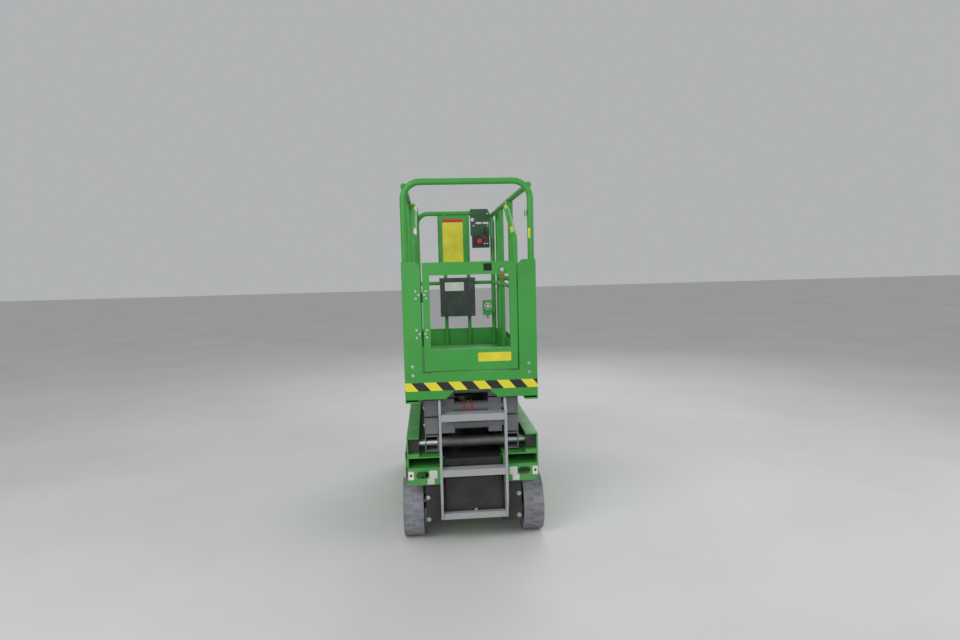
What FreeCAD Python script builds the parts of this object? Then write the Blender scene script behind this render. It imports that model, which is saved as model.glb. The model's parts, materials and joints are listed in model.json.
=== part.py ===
"""Electric slab scissor lift, stowed, with entry ladder, rear gate and sliding extension deck.

Millimetres. X runs to the right as seen from the ladder end, Y runs forward from the ladder end,
Z is up. The origin is on the ground, under the middle of the machine.
"""
import FreeCAD, Part
import math
import os

V = FreeCAD.Vector

# Fits and clearances
RUN_FIT = 0.05          # radial play of a pin in its bore
SEAT = 0.3              # play of a part that rests or slides on another
SWING = 6.0             # room beside a part that moves

# Overall
HALF_W = 373.0          # outer face of the chassis channels
CHASSIS_REAR = -800.0
CHASSIS_FRONT = 880.0

# Wheels
TYRE_R = 165.0
TYRE_W = 116.0
TYRE_OUT = 32.0         # how far a tyre stands out of the chassis channels
TYRE_BORE_R = 112.0
LUG_COUNT = 18
LUG_DEPTH = 4.0
LUG_GAP = 14.0          # width of the groove between two lugs
NOSE_ROOM = 50.0        # front tyre behind the front bumper
RIM_LIP = 10.0
RIM_DISH = 34.0
RIM_DISC = 50.0         # disc thickness, with the drive or brake inside
HUB_R = 44.0
HUB_OUT = 26.0
AXLE_R = 17.0

# Steering
KING_IN = 97.0          # kingpin inboard of the middle of its tyre
KING_R = 14.0
KNUCKLE_R = 27.0
FORK_LOW = 96.0
FORK_GAP = 128.0        # clear height between the fork's plates
FORK_T = 16.0
FORK_HALF = 32.0
ARM_BACK = 105.0        # steering arm, from kingpin to rod eye
STEER_ARM_T = 14.0
STEER_ABOVE = 44.0      # rod's axis above the tyres
STEER_ROD_R = 11.0
STEER_TUBE_R = 26.0
ROD_EYE_R = 20.0
ROD_EYE_BORE = 8.0

# Chassis
CHANNEL_FLANGE = 70.0
CHANNEL_WALL = 8.0
CHANNEL_FOOT = 17.0     # lower flange, which sits on the fork pocket
POCKET_ABOVE = 63.0     # fork pocket above the steering rod's axis
POCKET_W = 201.0
POCKET_H = 69.0
POCKET_WALL = 8.0
CORE_BESIDE = 12.0      # fork pocket beside the central girder
CORE_BOTTOM = 135.0
CORE_DOWN = 18.0        # girder top below the fork pocket's top
CORE_WALL = 8.0
NOSE_STEP = 55.0        # girder narrower on each side between the steered wheels
NOSE_START = 225.0      # that part starts behind the front axle
PLATE_T = 8.0           # bumper plates
BUMPER_REAR_H = 92.0    # rear bumper plate below the fork pocket
BUMPER_FRONT_H = 137.0
BUMPER_NIP = 22.0
LASH_LONG = 70.0
LASH_HIGH = 42.0
LASH_X = 290.0
LASH_DOWN_REAR = 34.0   # lashing slot below the fork pocket
LASH_DOWN_FRONT = 67.0
TAIL_LOW = 150.0
TAIL_HIGH = 378.0
TAIL_T = 4.0
RECESS_R = 26.0
RECESS_X = 15.0
RECESS_Z = 305.0

# Rear drive
DRIVE_WEB = 12.0
DRIVE_GAP = 15.0        # motor bracket beside the tyre
DRIVE_REACH = 110.0
DRIVE_LOW = 100.0
DRIVE_H = 240.0
MOTOR_R = 62.0

# Entry ladder
LADDER_OUT = 80.0       # ladder behind the chassis
LADDER_HALF = 190.0
LADDER_BAR = 14.0
LADDER_LOW = 150.0
LADDER_FLAT = 40.0      # width of its side bars
LADDER_TREAD_Z = 446.0
TREAD_T = 4.0
TREAD_LIP = 34.0

# Side trays
TRAY_BESIDE = 27.0      # tray skin outside the chassis channels
TRAY_SKIN = 4.0
TRAY_LOW = 120.0
TRAY_DOWN = 12.0        # tray top below the fork pocket
TRAY_WALL_H = 180.0
TRAY_AFT = 32.0         # hinge pin ahead of the rear tyre
TRAY_FORE = 257.0       # tray end behind the front axle
TRAY_PIN_R = 8.0
TRAY_KNUCKLE_R = 14.0
TRAY_KNUCKLE_H = 50.0
BATTERY_COUNT = 4
BATTERY_L = 185.0
BATTERY_GAP = 10.0
BATTERY_H = 260.0
TANK_L = 280.0
TANK_H = 206.0
PUMP_R = 75.0
PUMP_L = 360.0
VALVE_L = 90.0

# Scissor stack
LEVELS = 3
PITCH = 103.0           # height between pins with the stack folded
ARM_GAP = 9.0           # folded arms apart from each other
ARM_W = 76.0
ARM_WALL = 5.0
ARM_END = 28.0          # arm beyond its end pin
ARM_ROOM = 34.0         # outer arms apart from the slide channels
ARM_BETWEEN = 19.5      # inner arms apart from the outer ones
ARM_BLOCK = 48.0        # half length of the bearing block round a pin
CAP_T = 4.0
CAP_INSET = 3.0
PIN_REAR_IN = 80.0      # rear pins ahead of the chassis end
PIN_FRONT_IN = 130.0    # front pins behind the chassis end
PIN_R = 20.0
PIN_OUT = 8.0           # middle pins outside the outer arms
SLEEVE_R = 28.0
SLIDE_H = 86.0          # clear height inside a slide channel
SLIDE_PLAY = 1.0
SLIDE_LONG = 90.0
PIVOT_T = 8.0
PIVOT_R = 38.0

# Lift cylinder
CYL_BASE_IN = 250.0     # its base pin behind the front pins
CYL_BASE_UP = 57.0      # its base pin above the girder
CYL_EYE_PAST = 363.2    # its rod eye beyond the middle pins
BARREL_R = 36.0
ROD_R = 22.0
EYE_R = 30.0
EYE_DRIFT = 40.0        # room for the open rod eye
EAR_T = 12.0

# Platform
DECK_INSET = 5.0        # deck edge inside the chassis channels
DECK_BACK = 55.0        # deck behind the chassis
DECK_SHORT = 80.0       # deck ends before the chassis does
DECK_LIFT = 60.0        # deck plate above the highest pins
DECK_PLATE = 4.0
DECK_WALL = 3.0
SHEET = 4.0
RAIL_R = 17.5
RAIL_H = 1111.0         # guardrail above the deck
HOOP_BEND = 95.0
SIDE_RAIL_DROP = 22.0
SIDE_RAIL_IN = 6.0
SIDE_BEND = 90.0
MID_RAIL_H = 541.0
TOE_H = 125.0
TOE_T = 3.0
POST_W = 100.0
POST_H = 665.0
POST_DEPTH = 40.0
POST_NIP = 24.0
BAND_DROP = 47.0        # striped band below the deck
SKIRT_DROP = 95.0
SKIRT_NOTCH = 98.0
SILL_H = 53.0

# Extension deck
EXT_PLAY = 5.0          # extension deck above the main one
EXT_SHORT = 40.0        # extension rails lower than the main ones
EXT_BACK = 340.0        # its rear end ahead of the gate
EXT_EDGE = 14.0
EXT_KNEE_H = 787.0
EXT_SLOPE = 400.0
EXT_BEND = 60.0
EXT_POST_R = 14.5
EXT_MID_DROP = 40.0     # its middle rail below the main one
EXT_LIP = 66.0
POST_LEFT_X = -85.0
POST_RIGHT_X = 100.0

# Things on the extension rail
PANEL_W = 249.0
PANEL_X = -137.0
PANEL_H = 415.0
PANEL_UP = 612.0
PANEL_FOLD = 12.0
MANUAL_W = 276.0
MANUAL_X = -132.0
MANUAL_H = 294.0
MANUAL_D = 56.0
MANUAL_UP = 228.0
BRACKET_X = 124.0
BRACKET_W = 153.0
BRACKET_H = 210.0
BRACKET_NIP = 32.0
BRACKET_T = 5.0
BOX_W = 134.0
BOX_H = 97.0
BOX_D = 70.0
BOX_DROP = 49.0
OUTLET_W = 73.0
OUTLET_H = 120.0
OUTLET_D = 66.0
OUTLET_UP = 232.0

# Gate
GATE_LEFT = 256.0       # gate edge left of the middle
GATE_RIGHT = 260.0
GATE_UP = 8.0           # gate above the sill
GATE_H = 597.0
GATE_DEPTH = 35.0
GATE_BAR = 70.0
GATE_STILE = 38.0
GATE_KICK = 120.0
GATE_AXIS_OUT = 6.0     # hinge axis outside the gate edge
GATE_AXIS_IN = 14.0     # hinge axis inside the gate's inner face
GATE_PIN_R = 6.0
HINGE_R = 11.0
HINGE_T = 26.0
HINGE_LOW_H = 192.0
HINGE_STEP = 213.0

# Places that follow from the sizes above
WHEEL_X = HALF_W + TYRE_OUT - TYRE_W / 2
REAR_AXLE_Y = CHASSIS_REAR + TYRE_R
FRONT_AXLE_Y = CHASSIS_FRONT - TYRE_R - NOSE_ROOM
KING_X = WHEEL_X - KING_IN
FORK_HIGH = FORK_LOW + FORK_T + FORK_GAP
STEER_Z = 2 * TYRE_R + STEER_ABOVE
STEER_Y = FRONT_AXLE_Y - ARM_BACK
KING_TOP = STEER_Z - ROD_EYE_R - 2
POCKET_IN = HALF_W - POCKET_W
POCKET_BOTTOM = STEER_Z + POCKET_ABOVE
POCKET_TOP = POCKET_BOTTOM + POCKET_H
PIN_Z = POCKET_TOP + CHANNEL_FOOT + SLIDE_H / 2
CHANNEL_TOP = PIN_Z + SLIDE_H / 2 + CHANNEL_WALL
CHANNEL_FRONT = CHASSIS_FRONT - 2.5 * PLATE_T
CORE_HALF = POCKET_IN - CORE_BESIDE
CORE_TOP = POCKET_TOP - CORE_DOWN
NOSE_HALF = CORE_HALF - NOSE_STEP
LADDER_BACK = CHASSIS_REAR - LADDER_OUT
TRAY_OUT = HALF_W + TRAY_BESIDE
TRAY_HIGH = POCKET_BOTTOM - TRAY_DOWN
TRAY_HINGE_X = TRAY_OUT - TRAY_KNUCKLE_R - 2
TRAY_HINGE_Y = REAR_AXLE_Y + TYRE_R + TRAY_AFT
TRAY_REAR = TRAY_HINGE_Y + TRAY_KNUCKLE_R
TRAY_FRONT = FRONT_AXLE_Y - TRAY_FORE
ARM_H = PITCH - ARM_GAP
OUTER_ARM = HALF_W - CHANNEL_FLANGE - ARM_ROOM - ARM_W
INNER_ARM = OUTER_ARM - ARM_BETWEEN - ARM_W
PIN_REAR = CHASSIS_REAR + PIN_REAR_IN
PIN_FRONT = CHASSIS_FRONT - PIN_FRONT_IN
ARM_SPAN = math.hypot(PIN_FRONT - PIN_REAR, PITCH)
ARM_TILT = math.degrees(math.atan2(PITCH, PIN_FRONT - PIN_REAR))
SHAFT_REACH = HALF_W - CHANNEL_WALL - 4
CYL_BASE_Y = PIN_FRONT - CYL_BASE_IN
CYL_BASE_Z = CORE_TOP + CYL_BASE_UP
CYL_EYE_S = ARM_SPAN / 2 + CYL_EYE_PAST
DECK_HALF = HALF_W - DECK_INSET
REAR_PLANE = CHASSIS_REAR - DECK_BACK
DECK_FRONT = CHASSIS_FRONT - DECK_SHORT
TOP_PIN_Z = PIN_Z + LEVELS * PITCH
DECK_UNDER = TOP_PIN_Z + DECK_LIFT
DECK_TOP = DECK_UNDER + DECK_PLATE
RAIL_TOP = DECK_TOP + RAIL_H
MID_RAIL_Z = DECK_TOP + MID_RAIL_H
POST_TOP = DECK_TOP + POST_H
BAND_LOW = DECK_TOP - BAND_DROP
SKIRT_LOW = DECK_TOP - SKIRT_DROP
SILL_TOP = DECK_TOP + SILL_H
HOOP_X = DECK_HALF - SHEET - SEAT - RAIL_R
HOOP_Y = REAR_PLANE + SHEET + SEAT + RAIL_R
SIDE_X = HOOP_X - SIDE_RAIL_IN
SIDE_Z = RAIL_TOP - RAIL_R - SIDE_RAIL_DROP
SIDE_REAR = HOOP_Y + RAIL_R + SEAT
SIDE_FRONT = DECK_FRONT - 30
EXT_X = SIDE_X - 2 * RAIL_R - SWING
EXT_HALF = EXT_X + EXT_EDGE
EXT_UNDER = DECK_TOP + EXT_PLAY
EXT_FLOOR = EXT_UNDER + DECK_PLATE
EXT_TOP = RAIL_TOP - EXT_SHORT
EXT_REAR = REAR_PLANE + EXT_BACK
EXT_FRONT = DECK_FRONT
EXT_KNEE_Z = EXT_FLOOR + EXT_KNEE_H
EXT_KNEE_Y = EXT_REAR + EXT_SLOPE
EXT_MID_Z = MID_RAIL_Z - EXT_MID_DROP
EXT_RAIL_Z = EXT_TOP - RAIL_R
EXT_SIDE_Z = EXT_RAIL_Z - 2 * RAIL_R / 1.75
HANG_Y = EXT_FRONT - EXT_POST_R - SEAT
GATE_BOTTOM = SILL_TOP + GATE_UP
GATE_TOP = GATE_BOTTOM + GATE_H
GATE_FACE_IN = REAR_PLANE + GATE_DEPTH
GATE_AXIS_X = -GATE_LEFT - GATE_AXIS_OUT
GATE_AXIS_Y = GATE_FACE_IN + GATE_AXIS_IN
HINGE_ZS = [GATE_BOTTOM + HINGE_LOW_H, GATE_BOTTOM + HINGE_LOW_H + HINGE_STEP]
LADDER_TOP = SKIRT_LOW - SWING

parts = {}


def box(x0, x1, y0, y1, z0, z1):
    """A box between two corners, given in either order along X."""
    low, high = min(x0, x1), max(x0, x1)
    return Part.makeBox(high - low, y1 - y0, z1 - z0, V(low, y0, z0))


def rod_x(x0, x1, y, z, r):
    """A cylinder along X, its ends given in either order."""
    return Part.makeCylinder(r, abs(x1 - x0), V(min(x0, x1), y, z), V(1, 0, 0))


def rod_y(x, y0, y1, z, r):
    """A cylinder along Y."""
    return Part.makeCylinder(r, y1 - y0, V(x, y0, z), V(0, 1, 0))


def rod_z(x, y, z0, z1, r):
    """A cylinder along Z."""
    return Part.makeCylinder(r, z1 - z0, V(x, y, z0), V(0, 0, 1))


def prism(corners, along):
    """A prism over a closed outline of vectors."""
    return Part.Face(Part.makePolygon(corners + corners[:1])).extrude(along)


def prism_x(points, x0, x1):
    """A prism along X over an outline of (y, z) points."""
    return prism([V(x0, y, z) for y, z in points], V(x1 - x0, 0, 0))


def prism_y(points, y0, y1):
    """A prism along Y over an outline of (x, z) points."""
    return prism([V(x, y0, z) for x, z in points], V(0, y1 - y0, 0))


def prism_z(points, z0, z1):
    """A prism along Z over an outline of (x, y) points."""
    return prism([V(x, y, z0) for x, y in points], V(0, 0, z1 - z0))


def slot_y(x, z, length, height, y0, y1):
    """A round-ended slot cutter along Y, its long side along X."""
    r = height / 2
    reach = length / 2 - r
    cutter = box(x - reach, x + reach, y0, y1, z - r, z + r)
    return cutter.fuse([rod_y(x - reach, y0, y1, z, r), rod_y(x + reach, y0, y1, z, r)])


def mirror(shape):
    """The same shape on the other side of the machine."""
    return shape.mirror(V(0, 0, 0), V(1, 0, 0))


def both(shape):
    """A shape and its mirror image."""
    return [shape, mirror(shape)]


def fuse(shapes):
    """One shape out of many."""
    return shapes[0].fuse(shapes[1:]).removeSplitter()


def bent_tube(points, r, bend):
    """A round tube along straight runs joined by tangent arcs of one radius."""
    edges = []
    start = V(*points[0])
    for before, corner, after in zip(points, points[1:], points[2:]):
        corner = V(*corner)
        back = (V(*before) - corner).normalize()
        ahead = (V(*after) - corner).normalize()
        half = math.acos(back.dot(ahead)) / 2
        trim = bend / math.tan(half)
        middle = corner + (back + ahead).normalize() * (bend / math.sin(half) - bend)
        edges.append(Part.LineSegment(start, corner + back * trim).toShape())
        edges.append(Part.Arc(corner + back * trim, middle, corner + ahead * trim).toShape())
        start = corner + ahead * trim
    edges.append(Part.LineSegment(start, V(*points[-1])).toShape())
    first = V(*points[1]) - V(*points[0])
    ring = Part.Wire([Part.makeCircle(r, V(*points[0]), first)])
    return Part.Wire(edges).makePipeShell([ring], True, False)


def add(name, shape):
    """Keeps a finished piece under its node name."""
    parts[name] = shape


# Wheels

def tread_ring(x0, x1, y, turn):
    """Half the width of a tyre, its lugs flat-topped and its grooves turned by part of a pitch."""
    pitch = 2 * math.pi / LUG_COUNT
    half_gap = LUG_GAP / TYRE_R / 2
    steps = [(half_gap, 0), (pitch / 2, 0), (pitch - half_gap, 0),
             (pitch - half_gap, LUG_DEPTH), (pitch + half_gap, LUG_DEPTH)]
    corners = []
    for lug in range(LUG_COUNT):
        for angle, depth in steps:
            a = (lug + turn) * pitch + angle
            r = TYRE_R - depth
            corners.append(V(x0, y + r * math.sin(a), TYRE_R + r * math.cos(a)))
    return prism(corners, V(x1 - x0, 0, 0))


def tyre(x, y):
    """A solid tyre with lug grooves cut in from both shoulders by turns."""
    body = tread_ring(x - TYRE_W / 2, x, y, 0.5).fuse(tread_ring(x, x + TYRE_W / 2, y, 0.0))
    return body.cut(rod_x(x - TYRE_W, x + TYRE_W, y, TYRE_R, TYRE_BORE_R)).removeSplitter()


def rim(x, y, side):
    """A dished wheel disc with its hub; side is +1 on the right."""
    outer = TYRE_BORE_R - SEAT
    face = TYRE_W / 2 - CHANNEL_WALL
    floor = face - RIM_DISH
    bore = AXLE_R + RUN_FIT
    outline = [(bore, floor - RIM_DISC), (outer, floor - RIM_DISC), (outer, face), (outer - RIM_LIP, face),
               (HUB_R, floor), (HUB_R, floor + HUB_OUT), (bore, floor + HUB_OUT)]
    corners = [V(x + side * w, y, TYRE_R + r) for r, w in outline]
    section = Part.Face(Part.makePolygon(corners + corners[:1]))
    return section.revolve(V(x, y, TYRE_R), V(1, 0, 0), 360)


def wheels():
    """Four wheels, each a tyre and a rim."""
    places = [("rear_left", -1, REAR_AXLE_Y), ("rear_right", 1, REAR_AXLE_Y),
              ("front_left", -1, FRONT_AXLE_Y), ("front_right", 1, FRONT_AXLE_Y)]
    for name, side, y in places:
        add("tyre_" + name, tyre(side * WHEEL_X, y))
        add("rim_" + name, rim(side * WHEEL_X, y, side))


# Chassis

def chassis_rails():
    """Two slide channels, each on top of its fork pocket, with the ears of the front pivot."""
    inner = HALF_W - CHANNEL_FLANGE
    channel = box(inner, HALF_W, CHASSIS_REAR, CHANNEL_FRONT, POCKET_TOP, CHANNEL_TOP)
    channel = channel.cut(box(inner - 1, HALF_W - CHANNEL_WALL, CHASSIS_REAR - 1, CHASSIS_FRONT,
                              PIN_Z - SLIDE_H / 2, PIN_Z + SLIDE_H / 2))
    pocket = box(POCKET_IN, HALF_W, CHASSIS_REAR, CHANNEL_FRONT, POCKET_BOTTOM, POCKET_TOP)
    pocket = pocket.cut(pocket_room(CHASSIS_REAR - 1, CHASSIS_FRONT))
    ear_x = INNER_ARM + ARM_W + SWING
    ear = box(ear_x, ear_x + PIVOT_T, PIN_FRONT - PIVOT_R, PIN_FRONT + PIVOT_R, POCKET_TOP, PIN_Z)
    ear = ear.fuse(rod_x(ear_x, ear_x + PIVOT_T, PIN_FRONT, PIN_Z, PIVOT_R))
    ear = ear.cut(rod_x(0, HALF_W, PIN_FRONT, PIN_Z, PIN_R + RUN_FIT))
    side = fuse([channel, pocket, ear])
    add("side_rail_right", side)
    add("side_rail_left", mirror(side))


def pocket_room(y0, y1):
    """The clear room inside the right fork pocket."""
    return box(POCKET_IN + POCKET_WALL, HALF_W - POCKET_WALL, y0, y1,
               POCKET_BOTTOM + POCKET_WALL, POCKET_TOP - POCKET_WALL)


def girder_plan(inset):
    """Half of the girder's outline seen from above, as (x, y) points from its rear end."""
    half, nose = CORE_HALF - inset, NOSE_HALF - inset
    start = FRONT_AXLE_Y - NOSE_START
    rear, front = CHASSIS_REAR + inset, CHANNEL_FRONT - inset
    right = [(half, rear), (half, start - NOSE_STEP), (nose, start), (nose, front)]
    return right + [(-x, y) for x, y in reversed(right)]


def chassis_core():
    """Central box girder, narrow between the steered wheels, with its ties and cylinder ears."""
    shell = prism_z(girder_plan(0), CORE_BOTTOM, CORE_TOP)
    shell = shell.cut(prism_z(girder_plan(CORE_WALL), CORE_BOTTOM + CORE_WALL, CORE_TOP - CORE_WALL))
    hatch = box(-NOSE_HALF / 2, NOSE_HALF / 2, CHASSIS_REAR + TYRE_R, CHASSIS_REAR + 2 * TYRE_R,
                CORE_BOTTOM - 1, CORE_BOTTOM + CORE_WALL + 1)
    shell = shell.cut(hatch)
    tie_l = 60.0
    ties = []
    for y in (CHASSIS_REAR + tie_l, (REAR_AXLE_Y + TRAY_FRONT) / 2, TRAY_FRONT - tie_l):
        ties += both(box(CORE_HALF, POCKET_IN, y, y + tie_l, POCKET_BOTTOM, CORE_TOP))
    for y in (STEER_Y - tie_l, CHANNEL_FRONT - tie_l):
        ties += both(box(NOSE_HALF, POCKET_IN, y, y + tie_l / 2, POCKET_BOTTOM, CORE_TOP))
    ear_in = EYE_R + SWING
    ears = []
    for x in (-ear_in - EAR_T, ear_in):
        ears.append(box(x, x + EAR_T, CYL_BASE_Y - EYE_R, CYL_BASE_Y + EYE_R, CORE_TOP, CYL_BASE_Z))
        ears.append(rod_x(x, x + EAR_T, CYL_BASE_Y, CYL_BASE_Z, EYE_R))
    pin = rod_x(-ear_in - EAR_T, ear_in + EAR_T, CYL_BASE_Y, CYL_BASE_Z, PIN_R)
    shape = fuse([shell] + ties + ears + [pin])
    add("chassis_core", shape.cut(rod_x(-HALF_W, HALF_W, STEER_Y, STEER_Z, STEER_TUBE_R + SEAT)))


def end_plates():
    """Rear and front bumper plates with oval lashing holes and cut lower corners."""
    low, high = POCKET_BOTTOM - BUMPER_REAR_H, POCKET_BOTTOM + POCKET_WALL
    y = CHASSIS_REAR
    outline = [(POCKET_IN, low), (HALF_W - BUMPER_NIP, low), (HALF_W, low + BUMPER_NIP), (HALF_W, high),
               (POCKET_IN, high)]
    plate = prism_y(outline, y - PLATE_T, y)
    plate = plate.cut(slot_y(LASH_X, POCKET_BOTTOM - LASH_DOWN_REAR, LASH_LONG, LASH_HIGH, y - 2 * PLATE_T, y + 1))
    gusset = prism_x([(y, low + BUMPER_NIP), (y, POCKET_BOTTOM), (y + BUMPER_REAR_H, POCKET_BOTTOM)],
                     POCKET_IN, POCKET_IN + PLATE_T)
    add("rear_bumper", Part.makeCompound(both(plate.fuse(gusset))))
    low = POCKET_BOTTOM - BUMPER_FRONT_H
    y = CHANNEL_FRONT
    outline = [(-HALF_W + BUMPER_NIP, low), (HALF_W - BUMPER_NIP, low), (HALF_W, low + BUMPER_NIP),
               (HALF_W, CHANNEL_TOP), (-HALF_W, CHANNEL_TOP), (-HALF_W, low + BUMPER_NIP)]
    front = prism_y(outline, y, y + PLATE_T)
    hole = slot_y(LASH_X, POCKET_BOTTOM - LASH_DOWN_FRONT, LASH_LONG, LASH_HIGH, y - 1, y + 2 * PLATE_T)
    front = front.cut(both(hole) + both(pocket_room(y - 1, y + 2 * PLATE_T)))
    rib = box(-HALF_W + 2 * BUMPER_NIP, HALF_W - 2 * BUMPER_NIP, y + PLATE_T, CHASSIS_FRONT,
              low + PLATE_T, low + 2.5 * PLATE_T)
    add("front_bumper", front.fuse(rib))


def tail_panel():
    """Black cover on the girder's end, with a round recess, and the green trim round it."""
    y = CHASSIS_REAR
    plate = box(-CORE_HALF, CORE_HALF, y - TAIL_T, y, TAIL_LOW, TAIL_HIGH)
    recess = rod_y(RECESS_X, y - TAIL_T - 1, y - TAIL_T / 2, RECESS_Z, RECESS_R)
    add("tail_panel", plate.cut(recess))
    corner_w, corner_h, lip = 42.0, 75.0, 14.0
    corner = prism_y([(CORE_HALF - corner_w, TAIL_HIGH), (CORE_HALF, TAIL_HIGH),
                      (CORE_HALF, TAIL_HIGH - corner_h), (CORE_HALF - lip, TAIL_HIGH - corner_h),
                      (CORE_HALF - corner_w, TAIL_HIGH - corner_h / 3)], y - 2 * TAIL_T, y - TAIL_T)
    bar = box(-CORE_HALF, CORE_HALF, y - 2 * TAIL_T, y, CORE_BOTTOM, TAIL_LOW)
    tabs = both(box(CORE_HALF - corner_w, CORE_HALF, y - 2 * TAIL_T, y - TAIL_T, TAIL_LOW, TAIL_LOW + corner_w))
    add("tail_trim", Part.makeCompound([fuse([bar] + tabs)] + both(corner)))


def ladder():
    """Two flat side bars with their tops bent forward, two treads and a foot bar."""
    half, bar, back = LADDER_HALF, LADDER_BAR, LADDER_BACK
    root = CHASSIS_REAR - PLATE_T
    front = back + LADDER_FLAT
    knee = LADDER_TOP - 2 * LADDER_FLAT
    heel = LADDER_LOW + 2.75 * LADDER_FLAT
    side = [(front, LADDER_LOW), (root, LADDER_LOW), (root, POCKET_TOP - LADDER_FLAT),
            (front, POCKET_TOP), (front, knee), (front + LADDER_FLAT, LADDER_TOP), (front, LADDER_TOP),
            (back, knee + LADDER_FLAT / 3), (back, heel)]
    pieces = both(prism_x(side, half - bar, half))
    skin = 2.0
    tread_top = LADDER_TOP - 2 * LADDER_FLAT
    for z, depth in ((tread_top, LADDER_OUT + 4 * skin), (LADDER_TREAD_Z, LADDER_OUT - PLATE_T - 3 * skin)):
        y0, y1 = back + skin, back + skin + depth
        pieces.append(box(-half + bar, half - bar, y0, y1, z - TREAD_T, z))
        pieces.append(box(-half + bar, half - bar, y0, y0 + TREAD_T, z - TREAD_T - TREAD_LIP, z - TREAD_T))
        pieces.append(box(-half + bar, half - bar, y1 - TREAD_T, y1, z - TREAD_T - TREAD_LIP / 2, z - TREAD_T))
    pieces.append(box(-half + bar, half - bar, front, root, LADDER_LOW, LADDER_LOW + TREAD_LIP))
    add("entry_ladder", fuse(pieces))


def rear_drive():
    """Black brackets beside the rear wheels, each with its drive motor and stub axle."""
    y0, y1 = CHASSIS_REAR + TYRE_R / 11, REAR_AXLE_Y + DRIVE_REACH
    high = DRIVE_LOW + DRIVE_H
    out = WHEEL_X - TYRE_W / 2 - DRIVE_GAP
    stub = WHEEL_X + TYRE_W / 2 - CHANNEL_WALL - RIM_DISH / 2
    shape = fuse([box(CORE_HALF, out, y0, y0 + PLATE_T, DRIVE_LOW + PLATE_T, high),
                  box(CORE_HALF, out, y0, y1, high - PLATE_T, high),
                  box(out - DRIVE_WEB, out, y0, y1, DRIVE_LOW, high),
                  rod_x(CORE_HALF, out - DRIVE_WEB, REAR_AXLE_Y, TYRE_R, MOTOR_R),
                  rod_x(out, stub, REAR_AXLE_Y, TYRE_R, AXLE_R)])
    add("rear_drive", Part.makeCompound(both(shape)))


def front_axle():
    """Beam under the nose with a fork for each kingpin, and the steering cylinder above it."""
    y0, y1 = FRONT_AXLE_Y - FORK_HALF, FRONT_AXLE_Y + FORK_HALF
    pieces = [box(-NOSE_HALF, NOSE_HALF, y0, y1, FORK_LOW, CORE_BOTTOM)]
    cheek = 12.0
    pieces += both(box(NOSE_HALF, NOSE_HALF + cheek, y0 - cheek, y1 + cheek, FORK_LOW,
                       FORK_HIGH + 4 * FORK_T))
    for z in (FORK_LOW, FORK_HIGH):
        fork = box(NOSE_HALF, KING_X, y0, y1, z, z + FORK_T)
        fork = fork.fuse(rod_z(KING_X, FRONT_AXLE_Y, z, z + FORK_T, FORK_HALF))
        pieces += both(fork.cut(rod_z(KING_X, FRONT_AXLE_Y, z - 1, z + FORK_T + 1, KING_R + RUN_FIT)))
    add("front_axle", fuse(pieces))
    half = NOSE_HALF + 2 * ROD_R / 2
    tube = rod_x(-half, half, STEER_Y, STEER_Z, STEER_TUBE_R)
    add("steer_cylinder", tube.cut(rod_x(-HALF_W, HALF_W, STEER_Y, STEER_Z, STEER_ROD_R + RUN_FIT)))


def steering():
    """Knuckles with kingpin, stub axle and arm, and the rod that the cylinder drives."""
    high = STEER_ARM_T
    for name, side in (("left", -1), ("right", 1)):
        x = side * KING_X
        stub = x + side * (KING_IN + TYRE_W / 2 - CHANNEL_WALL - RIM_DISH / 2)
        pieces = [rod_z(x, FRONT_AXLE_Y, FORK_LOW - SWING, KING_TOP, KING_R),
                  box(x - KNUCKLE_R, x + KNUCKLE_R, FRONT_AXLE_Y - KNUCKLE_R, FRONT_AXLE_Y + KNUCKLE_R,
                      FORK_LOW + FORK_T + 1, FORK_HIGH - 1),
                  rod_x(x, stub, FRONT_AXLE_Y, TYRE_R, AXLE_R),
                  box(x - KING_R, x + KING_R, STEER_Y - KING_R, FRONT_AXLE_Y + KING_R, KING_TOP - high, KING_TOP)]
        add("knuckle_" + name, fuse(pieces))
    rod = rod_x(-KING_X, KING_X, STEER_Y, STEER_Z, STEER_ROD_R)
    eyes = both(rod_z(KING_X, STEER_Y, STEER_Z - ROD_EYE_R, STEER_Z + ROD_EYE_R / 2, ROD_EYE_R))
    bores = both(rod_z(KING_X, STEER_Y, STEER_Z - 2 * ROD_EYE_R, STEER_Z + 2 * ROD_EYE_R, ROD_EYE_BORE))
    add("steer_rod", fuse([rod] + eyes).cut(bores))


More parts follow.
